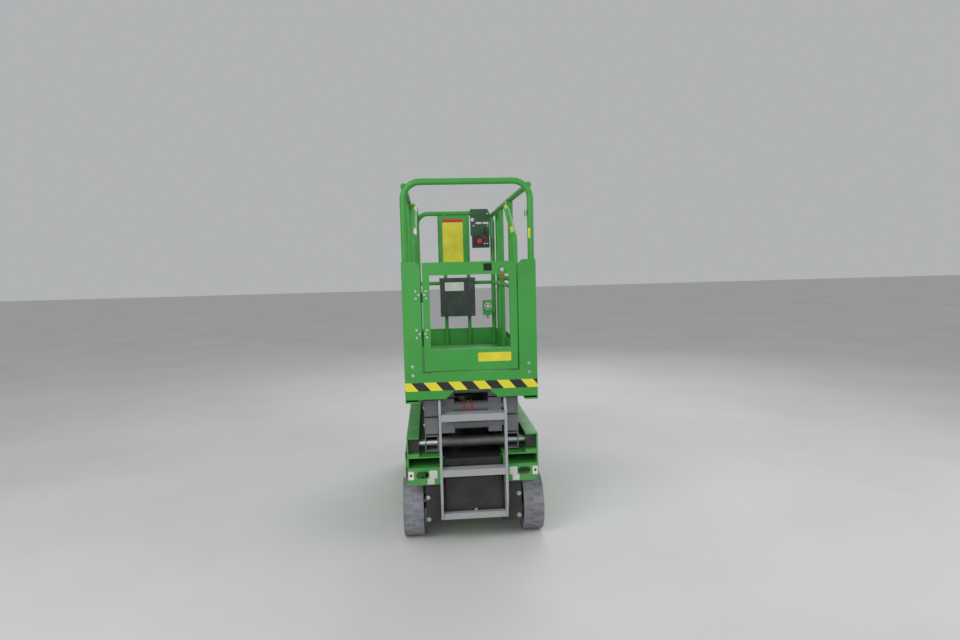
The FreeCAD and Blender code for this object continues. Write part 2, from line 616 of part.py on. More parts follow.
def trays():
    """Swing-out side trays: batteries on the left, power unit on the right."""
    inner = CORE_HALF + CORE_BESIDE
    skin_in = TRAY_OUT - TRAY_SKIN
    floor_top = TRAY_LOW + TRAY_SKIN
    back = TRAY_REAR + PLATE_T
    wall_top = TRAY_LOW + TRAY_WALL_H
    knuckle_zs = [TRAY_LOW + TRAY_KNUCKLE_H, TRAY_HIGH - 1.7 * TRAY_KNUCKLE_H]
    pieces = [box(skin_in, TRAY_OUT, TRAY_REAR, TRAY_FRONT, TRAY_LOW, TRAY_HIGH),
              box(inner, skin_in, back, TRAY_FRONT, TRAY_LOW, floor_top),
              box(inner, skin_in, TRAY_FRONT - TRAY_SKIN, TRAY_FRONT, floor_top, wall_top),
              box(inner, skin_in, back, back + TRAY_SKIN, floor_top, wall_top),
              box(skin_in - 5 * TRAY_SKIN, skin_in, back, TRAY_FRONT, TRAY_HIGH - TRAY_SKIN, TRAY_HIGH)]
    for z in knuckle_zs:
        pieces.append(rod_z(TRAY_HINGE_X, TRAY_HINGE_Y, z, z + TRAY_KNUCKLE_H, TRAY_KNUCKLE_R))
        pieces.append(box(TRAY_HINGE_X, TRAY_OUT - TRAY_SKIN, TRAY_HINGE_Y, TRAY_REAR + PLATE_T,
                          z, z + TRAY_KNUCKLE_H))
    tray = fuse(pieces).cut(rod_z(TRAY_HINGE_X, TRAY_HINGE_Y, 0, TRAY_HIGH, TRAY_PIN_R + RUN_FIT))
    add("tray_right", tray)
    add("tray_left", mirror(tray))
    plate = 10.0
    pin = [rod_z(TRAY_HINGE_X, TRAY_HINGE_Y, knuckle_zs[0] - 2 * plate, POCKET_BOTTOM, TRAY_PIN_R)]
    for z in [knuckle_zs[0] - 2 * plate] + [z + TRAY_KNUCKLE_H + SEAT for z in knuckle_zs]:
        pin.append(box(CORE_HALF, TRAY_HINGE_X + plate, TRAY_HINGE_Y - plate, TRAY_HINGE_Y + plate, z, z + plate))
    add("tray_hinges", Part.makeCompound(both(fuse(pin))))
    cell_in = inner + SWING
    step = BATTERY_L + BATTERY_GAP
    first = TRAY_REAR + SWING * 4
    cells = [box(-skin_in + 2 * BATTERY_GAP - SWING, -cell_in, y, y + BATTERY_L, floor_top, floor_top + BATTERY_H)
             for y in (first + i * step for i in range(BATTERY_COUNT))]
    add("battery_block", Part.makeCompound(cells))
    unit_out = skin_in - 2.6 * SWING
    unit_in = inner + 2 * SWING
    middle = (unit_in + unit_out) / 2
    tank_y = TRAY_FRONT - SWING - TANK_L
    pump_y = tank_y - PUMP_L
    half = PUMP_R / 2
    add("power_unit", fuse([
        box(unit_in, unit_out, tank_y, tank_y + TANK_L, floor_top, floor_top + TANK_H),
        rod_y(middle, pump_y, tank_y, floor_top + TANK_H / 2 + SWING, PUMP_R),
        box(middle - PUMP_R, middle + PUMP_R, pump_y - VALVE_L, pump_y, floor_top, floor_top + TANK_H - SWING),
        box(middle - half, middle + half, pump_y, tank_y, floor_top, floor_top + half)]))


# Scissor stack

def arm_tube(x_in, ahead, open_root):
    """One hollow arm along Y from the origin, with bearing blocks round its pins and inset end caps.

    ahead is +1 where the arm runs forward and -1 where it runs to the rear.
    """
    def run(start, end, x0, x1, z0, z1):
        low, high = sorted((start * ahead, end * ahead))
        return box(x0, x1, low, high, z0, z1)
    half = ARM_H / 2
    end = ARM_SPAN + ARM_END
    x0, x1 = x_in + ARM_WALL, x_in + ARM_W - ARM_WALL
    z = half - ARM_WALL
    middle = ARM_SPAN / 2
    drain = ARM_WALL * 2
    rooms = [run(ARM_BLOCK, middle - ARM_BLOCK, x0, x1, -z, z),
             run(middle + ARM_BLOCK, ARM_SPAN - ARM_BLOCK, x0, x1, -z, z)]
    for start in (ARM_BLOCK, middle + ARM_BLOCK):
        rooms.append(run(start, start + drain, x0, x1, -half - 1, -z + 1))
    rooms.append(run(end - CAP_INSET, end + 1, x0, x1, -z, z))
    rooms.append(run(-ARM_END - 1, ARM_BLOCK if open_root else -ARM_END + CAP_INSET, x0, x1, -z, z))
    return run(-ARM_END, end, x_in, x_in + ARM_W, -half, half).cut(rooms)


def place_arm(shape, ahead, level):
    """Turns an arm built at the origin to its folded slope and puts it on its lower pin."""
    lower = V(0, PIN_FRONT if ahead < 0 else PIN_REAR, PIN_Z + (level - 1) * PITCH)
    shape = shape.copy()
    shape.rotate(V(0, 0, 0), V(1, 0, 0), ARM_TILT * ahead)
    shape.translate(lower)
    return shape


def cylinder_clevis():
    """Cross tube and two ears on the lowest inner arms, for the rod eye's pin."""
    y = -CYL_EYE_S - EYE_R - EYE_DRIFT - SLEEVE_R
    pieces = [rod_x(-INNER_ARM, INNER_ARM, y, 0, SLEEVE_R)]
    for side in (-1, 1):
        x = side * (EYE_R + SWING)
        pieces.append(box(x, x + side * EAR_T, y, -CYL_EYE_S, -SLEEVE_R, SLEEVE_R))
        pieces.append(rod_x(x, x + side * EAR_T, -CYL_EYE_S, 0, SLEEVE_R))
    return pieces


def inner_frame(level):
    """Pair of inner arms that rise to the rear, joined by sleeves at their ends."""
    edge = INNER_ARM + ARM_W
    pieces = both(arm_tube(INNER_ARM, -1, False))
    bores = []
    shafts = {(1, 0.0): edge + SWING + PIVOT_T, (LEVELS, -ARM_SPAN): SHAFT_REACH}
    for y in (0.0, -ARM_SPAN):
        pieces.append(rod_x(-edge, edge, y, 0, SLEEVE_R))
        reach = shafts.get((level, y))
        if reach:
            pieces.append(rod_x(-reach, reach, y, 0, PIN_R))
        else:
            bores.append(rod_x(-HALF_W, HALF_W, y, 0, PIN_R + RUN_FIT))
    pieces += both(rod_x(edge, OUTER_ARM + ARM_W + PIN_OUT, -ARM_SPAN / 2, 0, PIN_R))
    if level == 1:
        pieces += cylinder_clevis()
    add("scissor_inner_%d" % level, place_arm(fuse(pieces).cut(bores), -1, level))


def outer_frame(level):
    """Pair of outer arms that rise to the front, tied by shafts at both ends."""
    edge = OUTER_ARM + ARM_W
    pieces = both(arm_tube(OUTER_ARM, 1, level == 1))
    shafts = {(1, 0.0): SHAFT_REACH, (LEVELS, ARM_SPAN): edge + PIN_OUT + PIVOT_T}
    for y in (0.0, ARM_SPAN):
        reach = shafts.get((level, y), edge)
        pieces.append(rod_x(-reach, reach, y, 0, PIN_R))
    bore = rod_x(-HALF_W, HALF_W, ARM_SPAN / 2, 0, PIN_R + RUN_FIT)
    add("scissor_outer_%d" % level, place_arm(fuse(pieces).cut(bore), 1, level))


def slide_blocks():
    """Plain bearing blocks that run in the chassis and platform channels."""
    x0 = HALF_W - CHANNEL_FLANGE + 3
    x1 = HALF_W - CHANNEL_WALL - 2
    half = SLIDE_H / 2 - SLIDE_PLAY
    for name, z in (("lower", PIN_Z), ("upper", TOP_PIN_Z)):
        block = box(x0, x1, PIN_REAR - SLIDE_LONG / 2, PIN_REAR + SLIDE_LONG / 2, z - half, z + half)
        block = block.cut(rod_x(0, HALF_W, PIN_REAR, z, PIN_R + RUN_FIT))
        add("slide_blocks_" + name, Part.makeCompound(both(block)))


def lift_cylinder():
    """Barrel on the girder and chromed rod, whose eye is open to its pin."""
    tilt = math.radians(ARM_TILT)
    eye = V(0, PIN_FRONT - CYL_EYE_S * math.cos(tilt), PIN_Z + CYL_EYE_S * math.sin(tilt))
    base = V(0, CYL_BASE_Y, CYL_BASE_Z)
    axis = (eye - base).normalize()
    length = (eye - base).Length
    gland = 30.0
    root = EYE_R * 0.8
    barrel_l = length - 190
    bottom = 2 * EYE_R
    barrel = fuse([Part.makeCylinder(BARREL_R, barrel_l - root, base + axis * root, axis),
                   Part.makeCylinder(BARREL_R + 5, gland, base + axis * (barrel_l - gland), axis),
                   rod_x(-EYE_R, EYE_R, CYL_BASE_Y, CYL_BASE_Z, EYE_R)])
    barrel = barrel.cut([rod_x(-HALF_W, HALF_W, CYL_BASE_Y, CYL_BASE_Z, PIN_R + RUN_FIT),
                         Part.makeCylinder(ROD_R + RUN_FIT, barrel_l, base + axis * bottom, axis)])
    add("lift_barrel", barrel)
    start = bottom + PIN_R
    rod = Part.makeCylinder(ROD_R, length - start, base + axis * start, axis)
    head = rod_x(-EYE_R, EYE_R, eye.y, eye.z, EYE_R)
    add("lift_rod", fuse([rod, head]).cut(rod_x(-HALF_W, HALF_W, eye.y, eye.z, PIN_R)))


# Platform

def deck():
    """Slide channels under the deck with their pivot brackets, and the deck plate."""
    y0 = REAR_PLANE + SHEET
    inner = DECK_HALF - CHANNEL_FLANGE
    channel = box(inner, DECK_HALF, y0, DECK_FRONT, TOP_PIN_Z - SLIDE_H / 2 - CHANNEL_WALL, DECK_UNDER)
    channel = channel.cut(box(inner - 1, DECK_HALF - DECK_WALL, REAR_PLANE, DECK_FRONT + 1,
                              TOP_PIN_Z - SLIDE_H / 2, TOP_PIN_Z + SLIDE_H / 2))
    x0 = OUTER_ARM + ARM_W + PIN_OUT
    x1 = x0 + PIVOT_T + 2
    y1, y2 = PIN_FRONT - PIVOT_R, PIN_FRONT + PIVOT_R
    bracket = fuse([box(x0, x1, y1, y2, TOP_PIN_Z, DECK_UNDER),
                    rod_x(x0, x1, PIN_FRONT, TOP_PIN_Z, PIVOT_R),
                    box(x0, inner, y1, y2, TOP_PIN_Z + SLIDE_H / 2 + SWING, DECK_UNDER)])
    bracket = bracket.cut(rod_x(0, HALF_W, PIN_FRONT, TOP_PIN_Z, PIN_R + RUN_FIT))
    add("platform_frame", Part.makeCompound(both(channel.fuse(bracket).removeSplitter())))
    add("deck_plate", box(-DECK_HALF, DECK_HALF, y0, DECK_FRONT, DECK_UNDER, DECK_TOP))


def rear_face():
    """Rear sheet under the gate: sill, striped band and skirt with its cut-out."""
    y0, y1 = REAR_PLANE, REAR_PLANE + SHEET
    band = box(-DECK_HALF, DECK_HALF, y0, y1, SKIRT_LOW, DECK_TOP)
    low, high = SKIRT_LOW - 1, BAND_LOW - 2
    slope = high - low
    notch = prism_y([(-SKIRT_NOTCH, high), (SKIRT_NOTCH, high), (SKIRT_NOTCH + slope, low),
                     (-SKIRT_NOTCH - slope, low)], y0 - 1, y1 + 1)
    posts_in = DECK_HALF - POST_W
    sill = box(-posts_in, posts_in, y0, y0 + GATE_DEPTH, DECK_TOP, SILL_TOP)
    sill = sill.cut(box(-posts_in + SHEET, posts_in - SHEET, y1, y0 + GATE_DEPTH + 1, DECK_TOP - 1,
                        SILL_TOP - SHEET))
    add("rear_face", band.cut(notch))
    add("rear_sill", sill)


def rear_posts():
    """Wide folded posts each side of the gate, with the gate's hinge pins on the left one."""
    inner = DECK_HALF - POST_W
    y0 = REAR_PLANE
    y1 = y0 + POST_DEPTH
    outline = [(inner, DECK_TOP), (DECK_HALF, DECK_TOP), (DECK_HALF, POST_TOP), (inner + POST_NIP, POST_TOP),
               (inner, POST_TOP - POST_NIP)]
    post = fuse([prism_y(outline, y0, y0 + SHEET),
                 box(DECK_HALF - SHEET, DECK_HALF, y0, y1, DECK_TOP, POST_TOP),
                 box(inner, inner + SHEET, y0, y1 - SHEET, DECK_TOP, POST_TOP - POST_NIP),
                 box(inner, DECK_HALF, y0, y1, DECK_TOP, DECK_TOP + SHEET)])
    post = post.cut(rod_z(HOOP_X, HOOP_Y, DECK_TOP - 1, POST_TOP, RAIL_R + SEAT))
    left = [mirror(post)]
    for z in HINGE_ZS:
        left.append(rod_z(GATE_AXIS_X, GATE_AXIS_Y, z - HINGE_T - 1, z - 1, HINGE_R))
        left.append(rod_z(GATE_AXIS_X, GATE_AXIS_Y, z - 1, z + HINGE_T, GATE_PIN_R))
        left.append(box(-inner - SHEET, GATE_AXIS_X, GATE_AXIS_Y - HINGE_R, GATE_AXIS_Y, z - HINGE_T - 1, z - 1))
        left.append(box(-inner - SHEET, -inner, y1 - SHEET - 1, GATE_AXIS_Y, z - HINGE_T - 1, z - 1))
    add("rear_posts", Part.makeCompound([post, fuse(left)]))


def main_rails():
    """Rear hoop, the two side frames of the main guardrail and the toe boards under them."""
    top = RAIL_TOP - RAIL_R
    hoop = bent_tube([(-HOOP_X, HOOP_Y, DECK_TOP), (-HOOP_X, HOOP_Y, top), (HOOP_X, HOOP_Y, top),
                      (HOOP_X, HOOP_Y, DECK_TOP)], RAIL_R, HOOP_BEND)
    add("rear_hoop", hoop)
    middle = (REAR_PLANE + DECK_FRONT) / 2
    for name, x in (("left", -SIDE_X), ("right", SIDE_X)):
        tube = bent_tube([(x, SIDE_REAR, SIDE_Z), (x, SIDE_FRONT, SIDE_Z), (x, SIDE_FRONT, DECK_TOP)],
                         RAIL_R, SIDE_BEND)
        add("main_rail_" + name, fuse([tube, rod_y(x, SIDE_REAR, SIDE_FRONT, MID_RAIL_Z, RAIL_R),
                                       rod_z(x, middle, DECK_TOP, SIDE_Z, RAIL_R)]))
    toe = [box(DECK_HALF - TOE_T, DECK_HALF, REAR_PLANE + POST_DEPTH, DECK_FRONT, DECK_TOP, DECK_TOP + TOE_H)]
    for y in (middle, SIDE_FRONT):
        toe.append(box(SIDE_X + RAIL_R, DECK_HALF - TOE_T, y - RAIL_R / 2, y + RAIL_R / 2, DECK_TOP,
                       DECK_TOP + TOE_H / 2))
    add("toe_boards", Part.makeCompound(both(fuse(toe))))


def extension():
    """Sliding deck with its own guardrail inside the main one."""
    y0, y1 = EXT_REAR - EXT_EDGE, EXT_FRONT + EXT_EDGE
    add("extension_deck", fuse(
        [box(-EXT_HALF, EXT_HALF, y0, y1, EXT_UNDER, EXT_FLOOR),
         box(-EXT_HALF, EXT_HALF, y1 - TOE_T, y1, EXT_UNDER - EXT_LIP, EXT_UNDER)]
        + both(box(EXT_X - RAIL_R, EXT_HALF, y0, DECK_FRONT - EXT_LIP, DECK_TOP + SEAT, EXT_UNDER))))
    front = EXT_FRONT
    hoop = bent_tube([(-EXT_X, front, EXT_FLOOR), (-EXT_X, front, EXT_RAIL_Z), (EXT_X, front, EXT_RAIL_Z),
                      (EXT_X, front, EXT_FLOOR)], RAIL_R, HOOP_BEND - RAIL_R / 2)
    toe_y = front + EXT_POST_R - TOE_T
    frame = fuse([hoop, rod_x(-EXT_X, EXT_X, front, EXT_MID_Z, EXT_POST_R),
                  box(-EXT_HALF, EXT_HALF, toe_y, toe_y + TOE_T, EXT_FLOOR, EXT_FLOOR + TOE_H),
                  rod_z(POST_LEFT_X, front, EXT_FLOOR, EXT_RAIL_Z, EXT_POST_R),
                  rod_z(POST_RIGHT_X, front, EXT_FLOOR, EXT_RAIL_Z, EXT_POST_R)])
    add("extension_front", frame)
    middle = (EXT_KNEE_Y + front) / 2 - EXT_SLOPE / 2
    pieces = [bent_tube([(EXT_X, EXT_REAR, EXT_FLOOR), (EXT_X, EXT_REAR, EXT_KNEE_Z),
                         (EXT_X, EXT_KNEE_Y, EXT_SIDE_Z), (EXT_X, front, EXT_SIDE_Z)], RAIL_R, EXT_BEND),
              rod_y(EXT_X, EXT_REAR, front, EXT_MID_Z, EXT_POST_R),
              rod_z(EXT_X, middle, EXT_FLOOR, EXT_SIDE_Z, EXT_POST_R),
              box(EXT_HALF - TOE_T, EXT_HALF, EXT_REAR, front - RAIL_R, EXT_FLOOR, EXT_FLOOR + TOE_H),
              box(EXT_X, EXT_HALF - TOE_T, middle - EXT_POST_R, middle + EXT_POST_R, EXT_FLOOR,
                  EXT_FLOOR + TOE_H)]
    rail = fuse(pieces).cut(frame)
    add("extension_rail_right", rail)
    add("extension_rail_left", mirror(rail))


def controls():
    """Instruction panel, manual box, control bracket with its box, and the outlet."""
    z0 = EXT_FLOOR + PANEL_UP
    panel = [box(PANEL_X, PANEL_X + PANEL_W, HANG_Y - TOE_T, HANG_Y, z0, z0 + PANEL_H)]
    for x in (PANEL_X, PANEL_X + PANEL_W - TOE_T):
        panel.append(box(x, x + TOE_T, HANG_Y - PANEL_FOLD, HANG_Y - TOE_T, z0, z0 + PANEL_H))
    add("instruction_panel", fuse(panel))
    z0 = EXT_FLOOR + MANUAL_UP
    lid_h = PANEL_FOLD * 2
    case = box(MANUAL_X, MANUAL_X + MANUAL_W, HANG_Y - MANUAL_D, HANG_Y, z0, z0 + MANUAL_H)
    lid = box(MANUAL_X - SHEET, MANUAL_X + MANUAL_W + SHEET, HANG_Y - MANUAL_D - SHEET, HANG_Y,
              z0 + MANUAL_H - lid_h / 2, z0 + MANUAL_H + lid_h / 2)
    add("manual_box", fuse([case, lid]))
    x0, x1 = BRACKET_X, BRACKET_X + BRACKET_W
    y1 = HANG_Y - TOE_T
    y0 = y1 - BRACKET_T
    z1 = EXT_TOP + 2.4 * BRACKET_T
    z0 = z1 - BRACKET_H
    plate = prism_y([(x0, z0), (x1, z0), (x1, z1 - BRACKET_NIP), (x1 - BRACKET_NIP / 2, z1), (x0, z1)], y0, y1)
    slot_w, slot_h = 46.0, 16.0
    holes = [rod_y(x0 + slot_h, y0 - 1, y1 + 1, z1 - slot_w * (0.8 + k), slot_h * 0.9) for k in (0, 1)]
    holes += [box(x1 - (k + 1) * 1.2 * slot_w, x1 - (k + 1) * 1.2 * slot_w + slot_w, y0 - 1, y1 + 1,
                  z0 + 2 * slot_w, z0 + 2 * slot_w + slot_h) for k in (0, 1)]
    hook_y = EXT_FRONT + RAIL_R + 1
    hook_x = x1 - BRACKET_NIP / 2
    hook = [box(x0, hook_x, y0, hook_y + BRACKET_T, EXT_TOP + 0.5, EXT_TOP + 0.5 + BRACKET_T),
            box(x0, hook_x, hook_y, hook_y + BRACKET_T, EXT_TOP - slot_w, EXT_TOP + 0.5)]
    add("control_bracket", fuse([plate.cut(holes)] + hook))
    cx = (x0 + x1) / 2
    box_top = z0
    case = box(cx - BOX_W / 2, cx + BOX_W / 2, y0 - BOX_D, y0, box_top - BOX_H, box_top)
    tongue = box(cx - BOX_W / 3, cx + BOX_W / 3, y0, y1, box_top - BOX_H + BOX_DROP / 2, box_top)
    lever_x, lever_y = cx + BOX_W / 4, y0 - BOX_D * 0.55
    lever = [rod_z(lever_x, lever_y, box_top, box_top + 10, 14), rod_z(lever_x, lever_y, box_top + 10, box_top + 60, 9)]
    stop_x, stop_z = cx - BOX_W / 10, box_top - BOX_DROP + 3
    stop_y = y0 - BOX_D
    stop = [rod_y(stop_x, stop_y - 12, stop_y, stop_z, 11), rod_y(stop_x, stop_y - 26, stop_y - 12, stop_z, 19)]
    add("control_box", fuse([case, tongue] + lever + stop))
    ox1 = EXT_X - EXT_POST_R - SWING
    z0 = EXT_FLOOR + OUTLET_UP
    outlet = [box(ox1 - OUTLET_W, ox1, y1 - OUTLET_D, y1 - SEAT, z0, z0 + OUTLET_H),
              box(ox1, EXT_X, y1 - OUTLET_D / 2, EXT_FRONT - RAIL_R - SEAT, z0 + OUTLET_H / 6, z0 + OUTLET_H * 5 / 6),
              rod_y(ox1 - OUTLET_W / 2, y1 - OUTLET_D - 8, y1 - OUTLET_D, z0 + 0.6 * OUTLET_H, 30)]
    add("outlet_box", fuse(outlet))


def gate():
    """Rear gate: frame, kick plate, hinge ears and latch."""
    y0, y1 = REAR_PLANE, GATE_FACE_IN
    left, right = -GATE_LEFT, GATE_RIGHT
    z1 = GATE_BOTTOM + GATE_KICK
    frame = box(left, right, y0, y1, GATE_BOTTOM, GATE_TOP)
    window_x, window_z = 80.0, GATE_TOP - GATE_BAR + 19
    cuts = [box(left + GATE_STILE, right - GATE_STILE, y0 - 1, y1 + 1, z1, GATE_TOP - GATE_BAR),
            box(left + GATE_STILE, right - GATE_STILE, y0 + SHEET, y1 + 1, GATE_BOTTOM - 1, z1 - GATE_UP * 2),
            box(window_x, window_x + 46, y0 - 1, y1 + 1, window_z, window_z + 40)]
    pieces = [frame.cut(cuts)]
    for z in HINGE_ZS:
        pieces.append(box(left, left + GATE_STILE, y1, GATE_AXIS_Y + GATE_PIN_R, z, z + HINGE_T))
        pieces.append(box(GATE_AXIS_X, left, GATE_AXIS_Y - HINGE_R / 2, GATE_AXIS_Y + GATE_PIN_R, z, z + HINGE_T))
        pieces.append(rod_z(GATE_AXIS_X, GATE_AXIS_Y, z, z + HINGE_T, HINGE_R))
    shape = fuse(pieces).cut(rod_z(GATE_AXIS_X, GATE_AXIS_Y, GATE_BOTTOM, GATE_TOP, GATE_PIN_R + RUN_FIT))
    add("gate_frame", shape)
    lx, top = 184.0, GATE_TOP - GATE_BAR / 2
    lever = prism_y([(lx - 12, top), (lx + 12, top), (lx + 8, top - 54), (lx - 6, top - 54)], y0 - 6, y0)
    add("gate_latch", lever)


wheels()
chassis_rails()
chassis_core()
end_plates()
tail_panel()
ladder()
rear_drive()
front_axle()
steering()
trays()
for number in range(1, LEVELS + 1):
    inner_frame(number)
    outer_frame(number)
slide_blocks()
lift_cylinder()
deck()
rear_face()
rear_posts()
main_rails()
extension()
controls()
gate()

os.makedirs("parts", exist_ok=True)
for name, shape in parts.items():
    shape.exportStep("parts/" + name + ".step")
    bound = shape.BoundBox
    print("%-22s solids %d valid %s box %.0f..%.0f %.0f..%.0f %.0f..%.0f" % (
        name, len(shape.Solids), shape.isValid(), bound.XMin, bound.XMax, bound.YMin, bound.YMax,
        bound.ZMin, bound.ZMax))
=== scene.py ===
"""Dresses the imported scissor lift: node materials, small fittings, light and camera."""

import json
import math

import bmesh
import bpy
from mathutils import Matrix, Vector


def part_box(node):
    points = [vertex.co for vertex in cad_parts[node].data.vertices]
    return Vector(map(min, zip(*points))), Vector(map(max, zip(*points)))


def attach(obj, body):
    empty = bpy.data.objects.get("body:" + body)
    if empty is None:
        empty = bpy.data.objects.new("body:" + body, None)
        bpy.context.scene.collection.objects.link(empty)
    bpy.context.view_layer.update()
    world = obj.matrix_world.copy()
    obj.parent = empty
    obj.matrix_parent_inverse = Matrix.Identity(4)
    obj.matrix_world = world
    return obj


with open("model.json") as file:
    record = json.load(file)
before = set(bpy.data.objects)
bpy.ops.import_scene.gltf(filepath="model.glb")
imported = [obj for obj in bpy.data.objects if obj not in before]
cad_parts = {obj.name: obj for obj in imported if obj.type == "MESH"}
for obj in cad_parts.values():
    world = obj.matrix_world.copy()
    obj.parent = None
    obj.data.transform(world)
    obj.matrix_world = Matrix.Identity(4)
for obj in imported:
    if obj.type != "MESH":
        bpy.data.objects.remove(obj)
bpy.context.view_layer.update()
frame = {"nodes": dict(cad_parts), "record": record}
NODES = frame["nodes"]
JOINTS = {entry["name"]: entry for entry in frame["record"]["behaviour"]["joints"]}

# Directions; left and right are as seen from the ladder
RIGHT = Vector((1, 0, 0))
AHEAD = Vector((0, 1, 0))
UP = Vector((0, 0, 1))
DOWN = Vector((0, 0, -1))
SIDES = (("left", -1), ("right", 1))

# Colours as linear RGB, in the photograph's hall light
GREEN = (0.034, 0.285, 0.036)
DARK_GREEN = (0.014, 0.070, 0.026)
YELLOW = (0.74, 0.66, 0.030)
BLACK = (0.012, 0.012, 0.013)
ARM_GREY = (0.158, 0.162, 0.175)
LADDER_GREY = (0.33, 0.34, 0.35)
RIM_WHITE = (0.52, 0.52, 0.50)
TYRE_GREY = (0.235, 0.240, 0.262)
STEEL = (0.56, 0.57, 0.58)
WORN_STEEL = (0.185, 0.180, 0.170)
CHROME = (0.70, 0.71, 0.73)
RED = (0.55, 0.018, 0.012)
PAPER = (0.72, 0.72, 0.68)
PAD_BLACK = (0.03, 0.03, 0.03)
BOX_BLACK = (0.035, 0.045, 0.042)
RUBBER_BLACK = (0.016, 0.016, 0.016)
DUST = (0.30, 0.28, 0.24)
PRIMER = (0.32, 0.34, 0.31)
FLOOR_DARK = (0.62, 0.62, 0.61)
FLOOR_LIGHT = (0.68, 0.68, 0.67)
SKY = (0.80, 0.82, 0.84)

# Paint and floor plate; lengths are in metres from here on
STRIPE_PITCH = 0.135
STRIPE_LEAN = 0.85          # stripe's sideways run for its height
STRIPE_SHIFT = 0.008
BAND_HEIGHT = 0.047         # striped band below the rear face's top
LATCH_GRIP = 0.4            # red share of the latch's height
LOZENGE_PITCH = 0.034       # raised lozenges of the floor plate
TYRE_ROUNDING = 0.025       # softened edges, as a share of the tyre's width
SMOOTH_BELOW = 32           # degrees between faces that are shaded as one

# Where lines that look for a face start
BEHIND = -2.0               # y well behind the ladder
INSIDE = 0.0                # y inside the platform
ABOVE = 1.0                 # z above the trays and the chassis

THIN = 0.0006               # thickness of a label
TUBE_R = 0.0175             # guardrail tube
CORNER_STEPS = 4            # edges in a plate's round corner
HOSE_SIDES = 12
PATCH_STEPS = 8             # edges across a bent label

# Radius and height of each kind of bolt head
HEADS = {
    "hinge": (0.0052, 0.004),
    "latch": (0.0085, 0.006),
    "post": (0.007, 0.005),
    "bracket": (0.005, 0.004),
    "outlet": (0.0035, 0.002),
    "motor": (0.0095, 0.008),
    "tail": (0.007, 0.005),
    "tail_screw": (0.005, 0.003),
    "wheel": (0.0085, 0.009),
    "kingpin": (0.010, 0.006),
    "pin": (0.0065, 0.004),
}

# Turned forms: their number of sides, then (radius, height) pairs along the axis
FORMS = {
    "pull_pin": (16, ((0.0035, -0.034), (0.0035, 0), (0.0065, 0.001), (0.0065, 0.008), (0.004, 0.010))),
    "switch": (16, ((0.007, 0), (0.007, 0.003), (0.003, 0.0035), (0.0025, 0.015))),
    "lamp": (16, ((0.004, 0), (0.004, 0.002), (0.0025, 0.0042))),
    "outlet_slot": (12, ((0.0025, 0), (0.0025, 0.0006))),
    "gland": (24, ((0.0125, 0), (0.0125, 0.010), (0.0105, 0.012), (0.0105, 0.024), (0.0075, 0.027))),
    "lash_mark": (20, ((0.007, 0), (0.007, THIN))),
    "dimple": (12, ((0.0055, 0), (0.0048, 0.0012), (0.003, 0.0018))),
    "hub_cap": (32, ((0.019, 0), (0.019, 0.001), (0.015, 0.003), (0.006, 0.004))),
    "pin_cap": (28, ((0.0185, 0), (0.0185, 0.0025), (0.0165, 0.0035))),
    "port": (20, ((0.011, 0), (0.011, 0.008), (0.008, 0.0085), (0.008, 0.016))),
    "battery_cap": (20, ((0.013, 0), (0.013, 0.004), (0.010, 0.006))),
    "battery_post": (16, ((0.008, 0), (0.008, 0.004), (0.005, 0.0045), (0.005, 0.009))),
    "tray_knob": (24, ((0.009, 0), (0.009, 0.0035))),
}

# Spans of the blank labels along X and Z; those of the bumper are given for its right side
LABELS = {
    "gate_label": ((0.039, 0.223), (1.046, 1.096)),
    "panel_label": ((-0.100, 0.062), (1.600, 1.921)),
    "panel_strip": ((-0.100, 0.062), (1.922, 1.946)),
    "manual_label": ((-0.094, 0.056), (1.379, 1.447)),
    "lash_label": ((0.338, 0.369), (0.378, 0.427)),
    "wide_label": ((0.205, 0.250), (0.382, 0.428)),
    "low_label": ((0.222, 0.262), (0.349, 0.3815)),
}
LABEL_CORNER = 0.004
GATE_LABEL_CORNER = 0.005

# Gate and posts; a place on a rear face is (x, z)
HINGES = (1.208, 1.422)             # heights of the gate's two hinges
HINGE_BOLT = 0.020                  # outer bolts of a leaf above and below the middle one
GATE_LEAF = (-0.237, -0.2455)       # x of the outer and middle bolts on the gate's leaf
POST_LEAF = (-0.2935, -0.2770)      # the same on the post's leaf
LATCH_BOLT = (0.184, 1.549)
POST_BOLTS = ((-0.322, 1.028), (-0.322, 0.978), (0.322, 1.028), (0.322, 0.978))
WINDOW_LEFT = 0.0801
WINDOW_BELOW = 0.0509               # window's foot below the gate's top
WINDOW_W = 0.0458
WINDOW_H = 0.0398
WINDOW_DEPTH = 0.014                # window's pane ahead of the gate's rear face
PANE_T = 0.002
BAR_COUNT = 4
BAR_DEPTH = 0.006                   # bars' axes ahead of the gate's rear face
BAR_R = 0.0026
BAR_SIDES = 12

# Labels and pull pin on the rails
KNEE_H = 0.787                      # bend of the extension's rail above its foot
SLOPE = 0.400                       # length of its sloping run along Y
SLOPE_LABEL = (0.095, 0.045)        # ends of the label below the slope's head
KNEE_LABEL = (0.045, 0.115)         # ends of the label above the knee
SLOPE_FACING = (-0.35, -1, 0.3)     # which way the right rail's labels face, mirrored on the left
PATCH_SPREAD = 1.1                  # radians of the tube that a label covers
STRIP_SPREAD = 0.8
STRIP_HEIGHTS = (1.719, 1.773)
STRIP_FACING = (-0.7, -1, 0)
EAR_W = 0.018
EAR_H = 0.026
EAR_T = 0.005
EAR_Z = 1.840
EAR_CORNER = 0.003
EAR_BACK = 0.003                    # ear's front face behind the tube's axis
EAR_SINK = 0.001                    # how far the ear reaches into the tube
PIN_Z = 1.866                       # underside of the pull pin's knob
PIN_IN = 0.009                      # pull pin away from the tube
PIN_BACK = 0.0115                   # pull pin behind the tube's axis

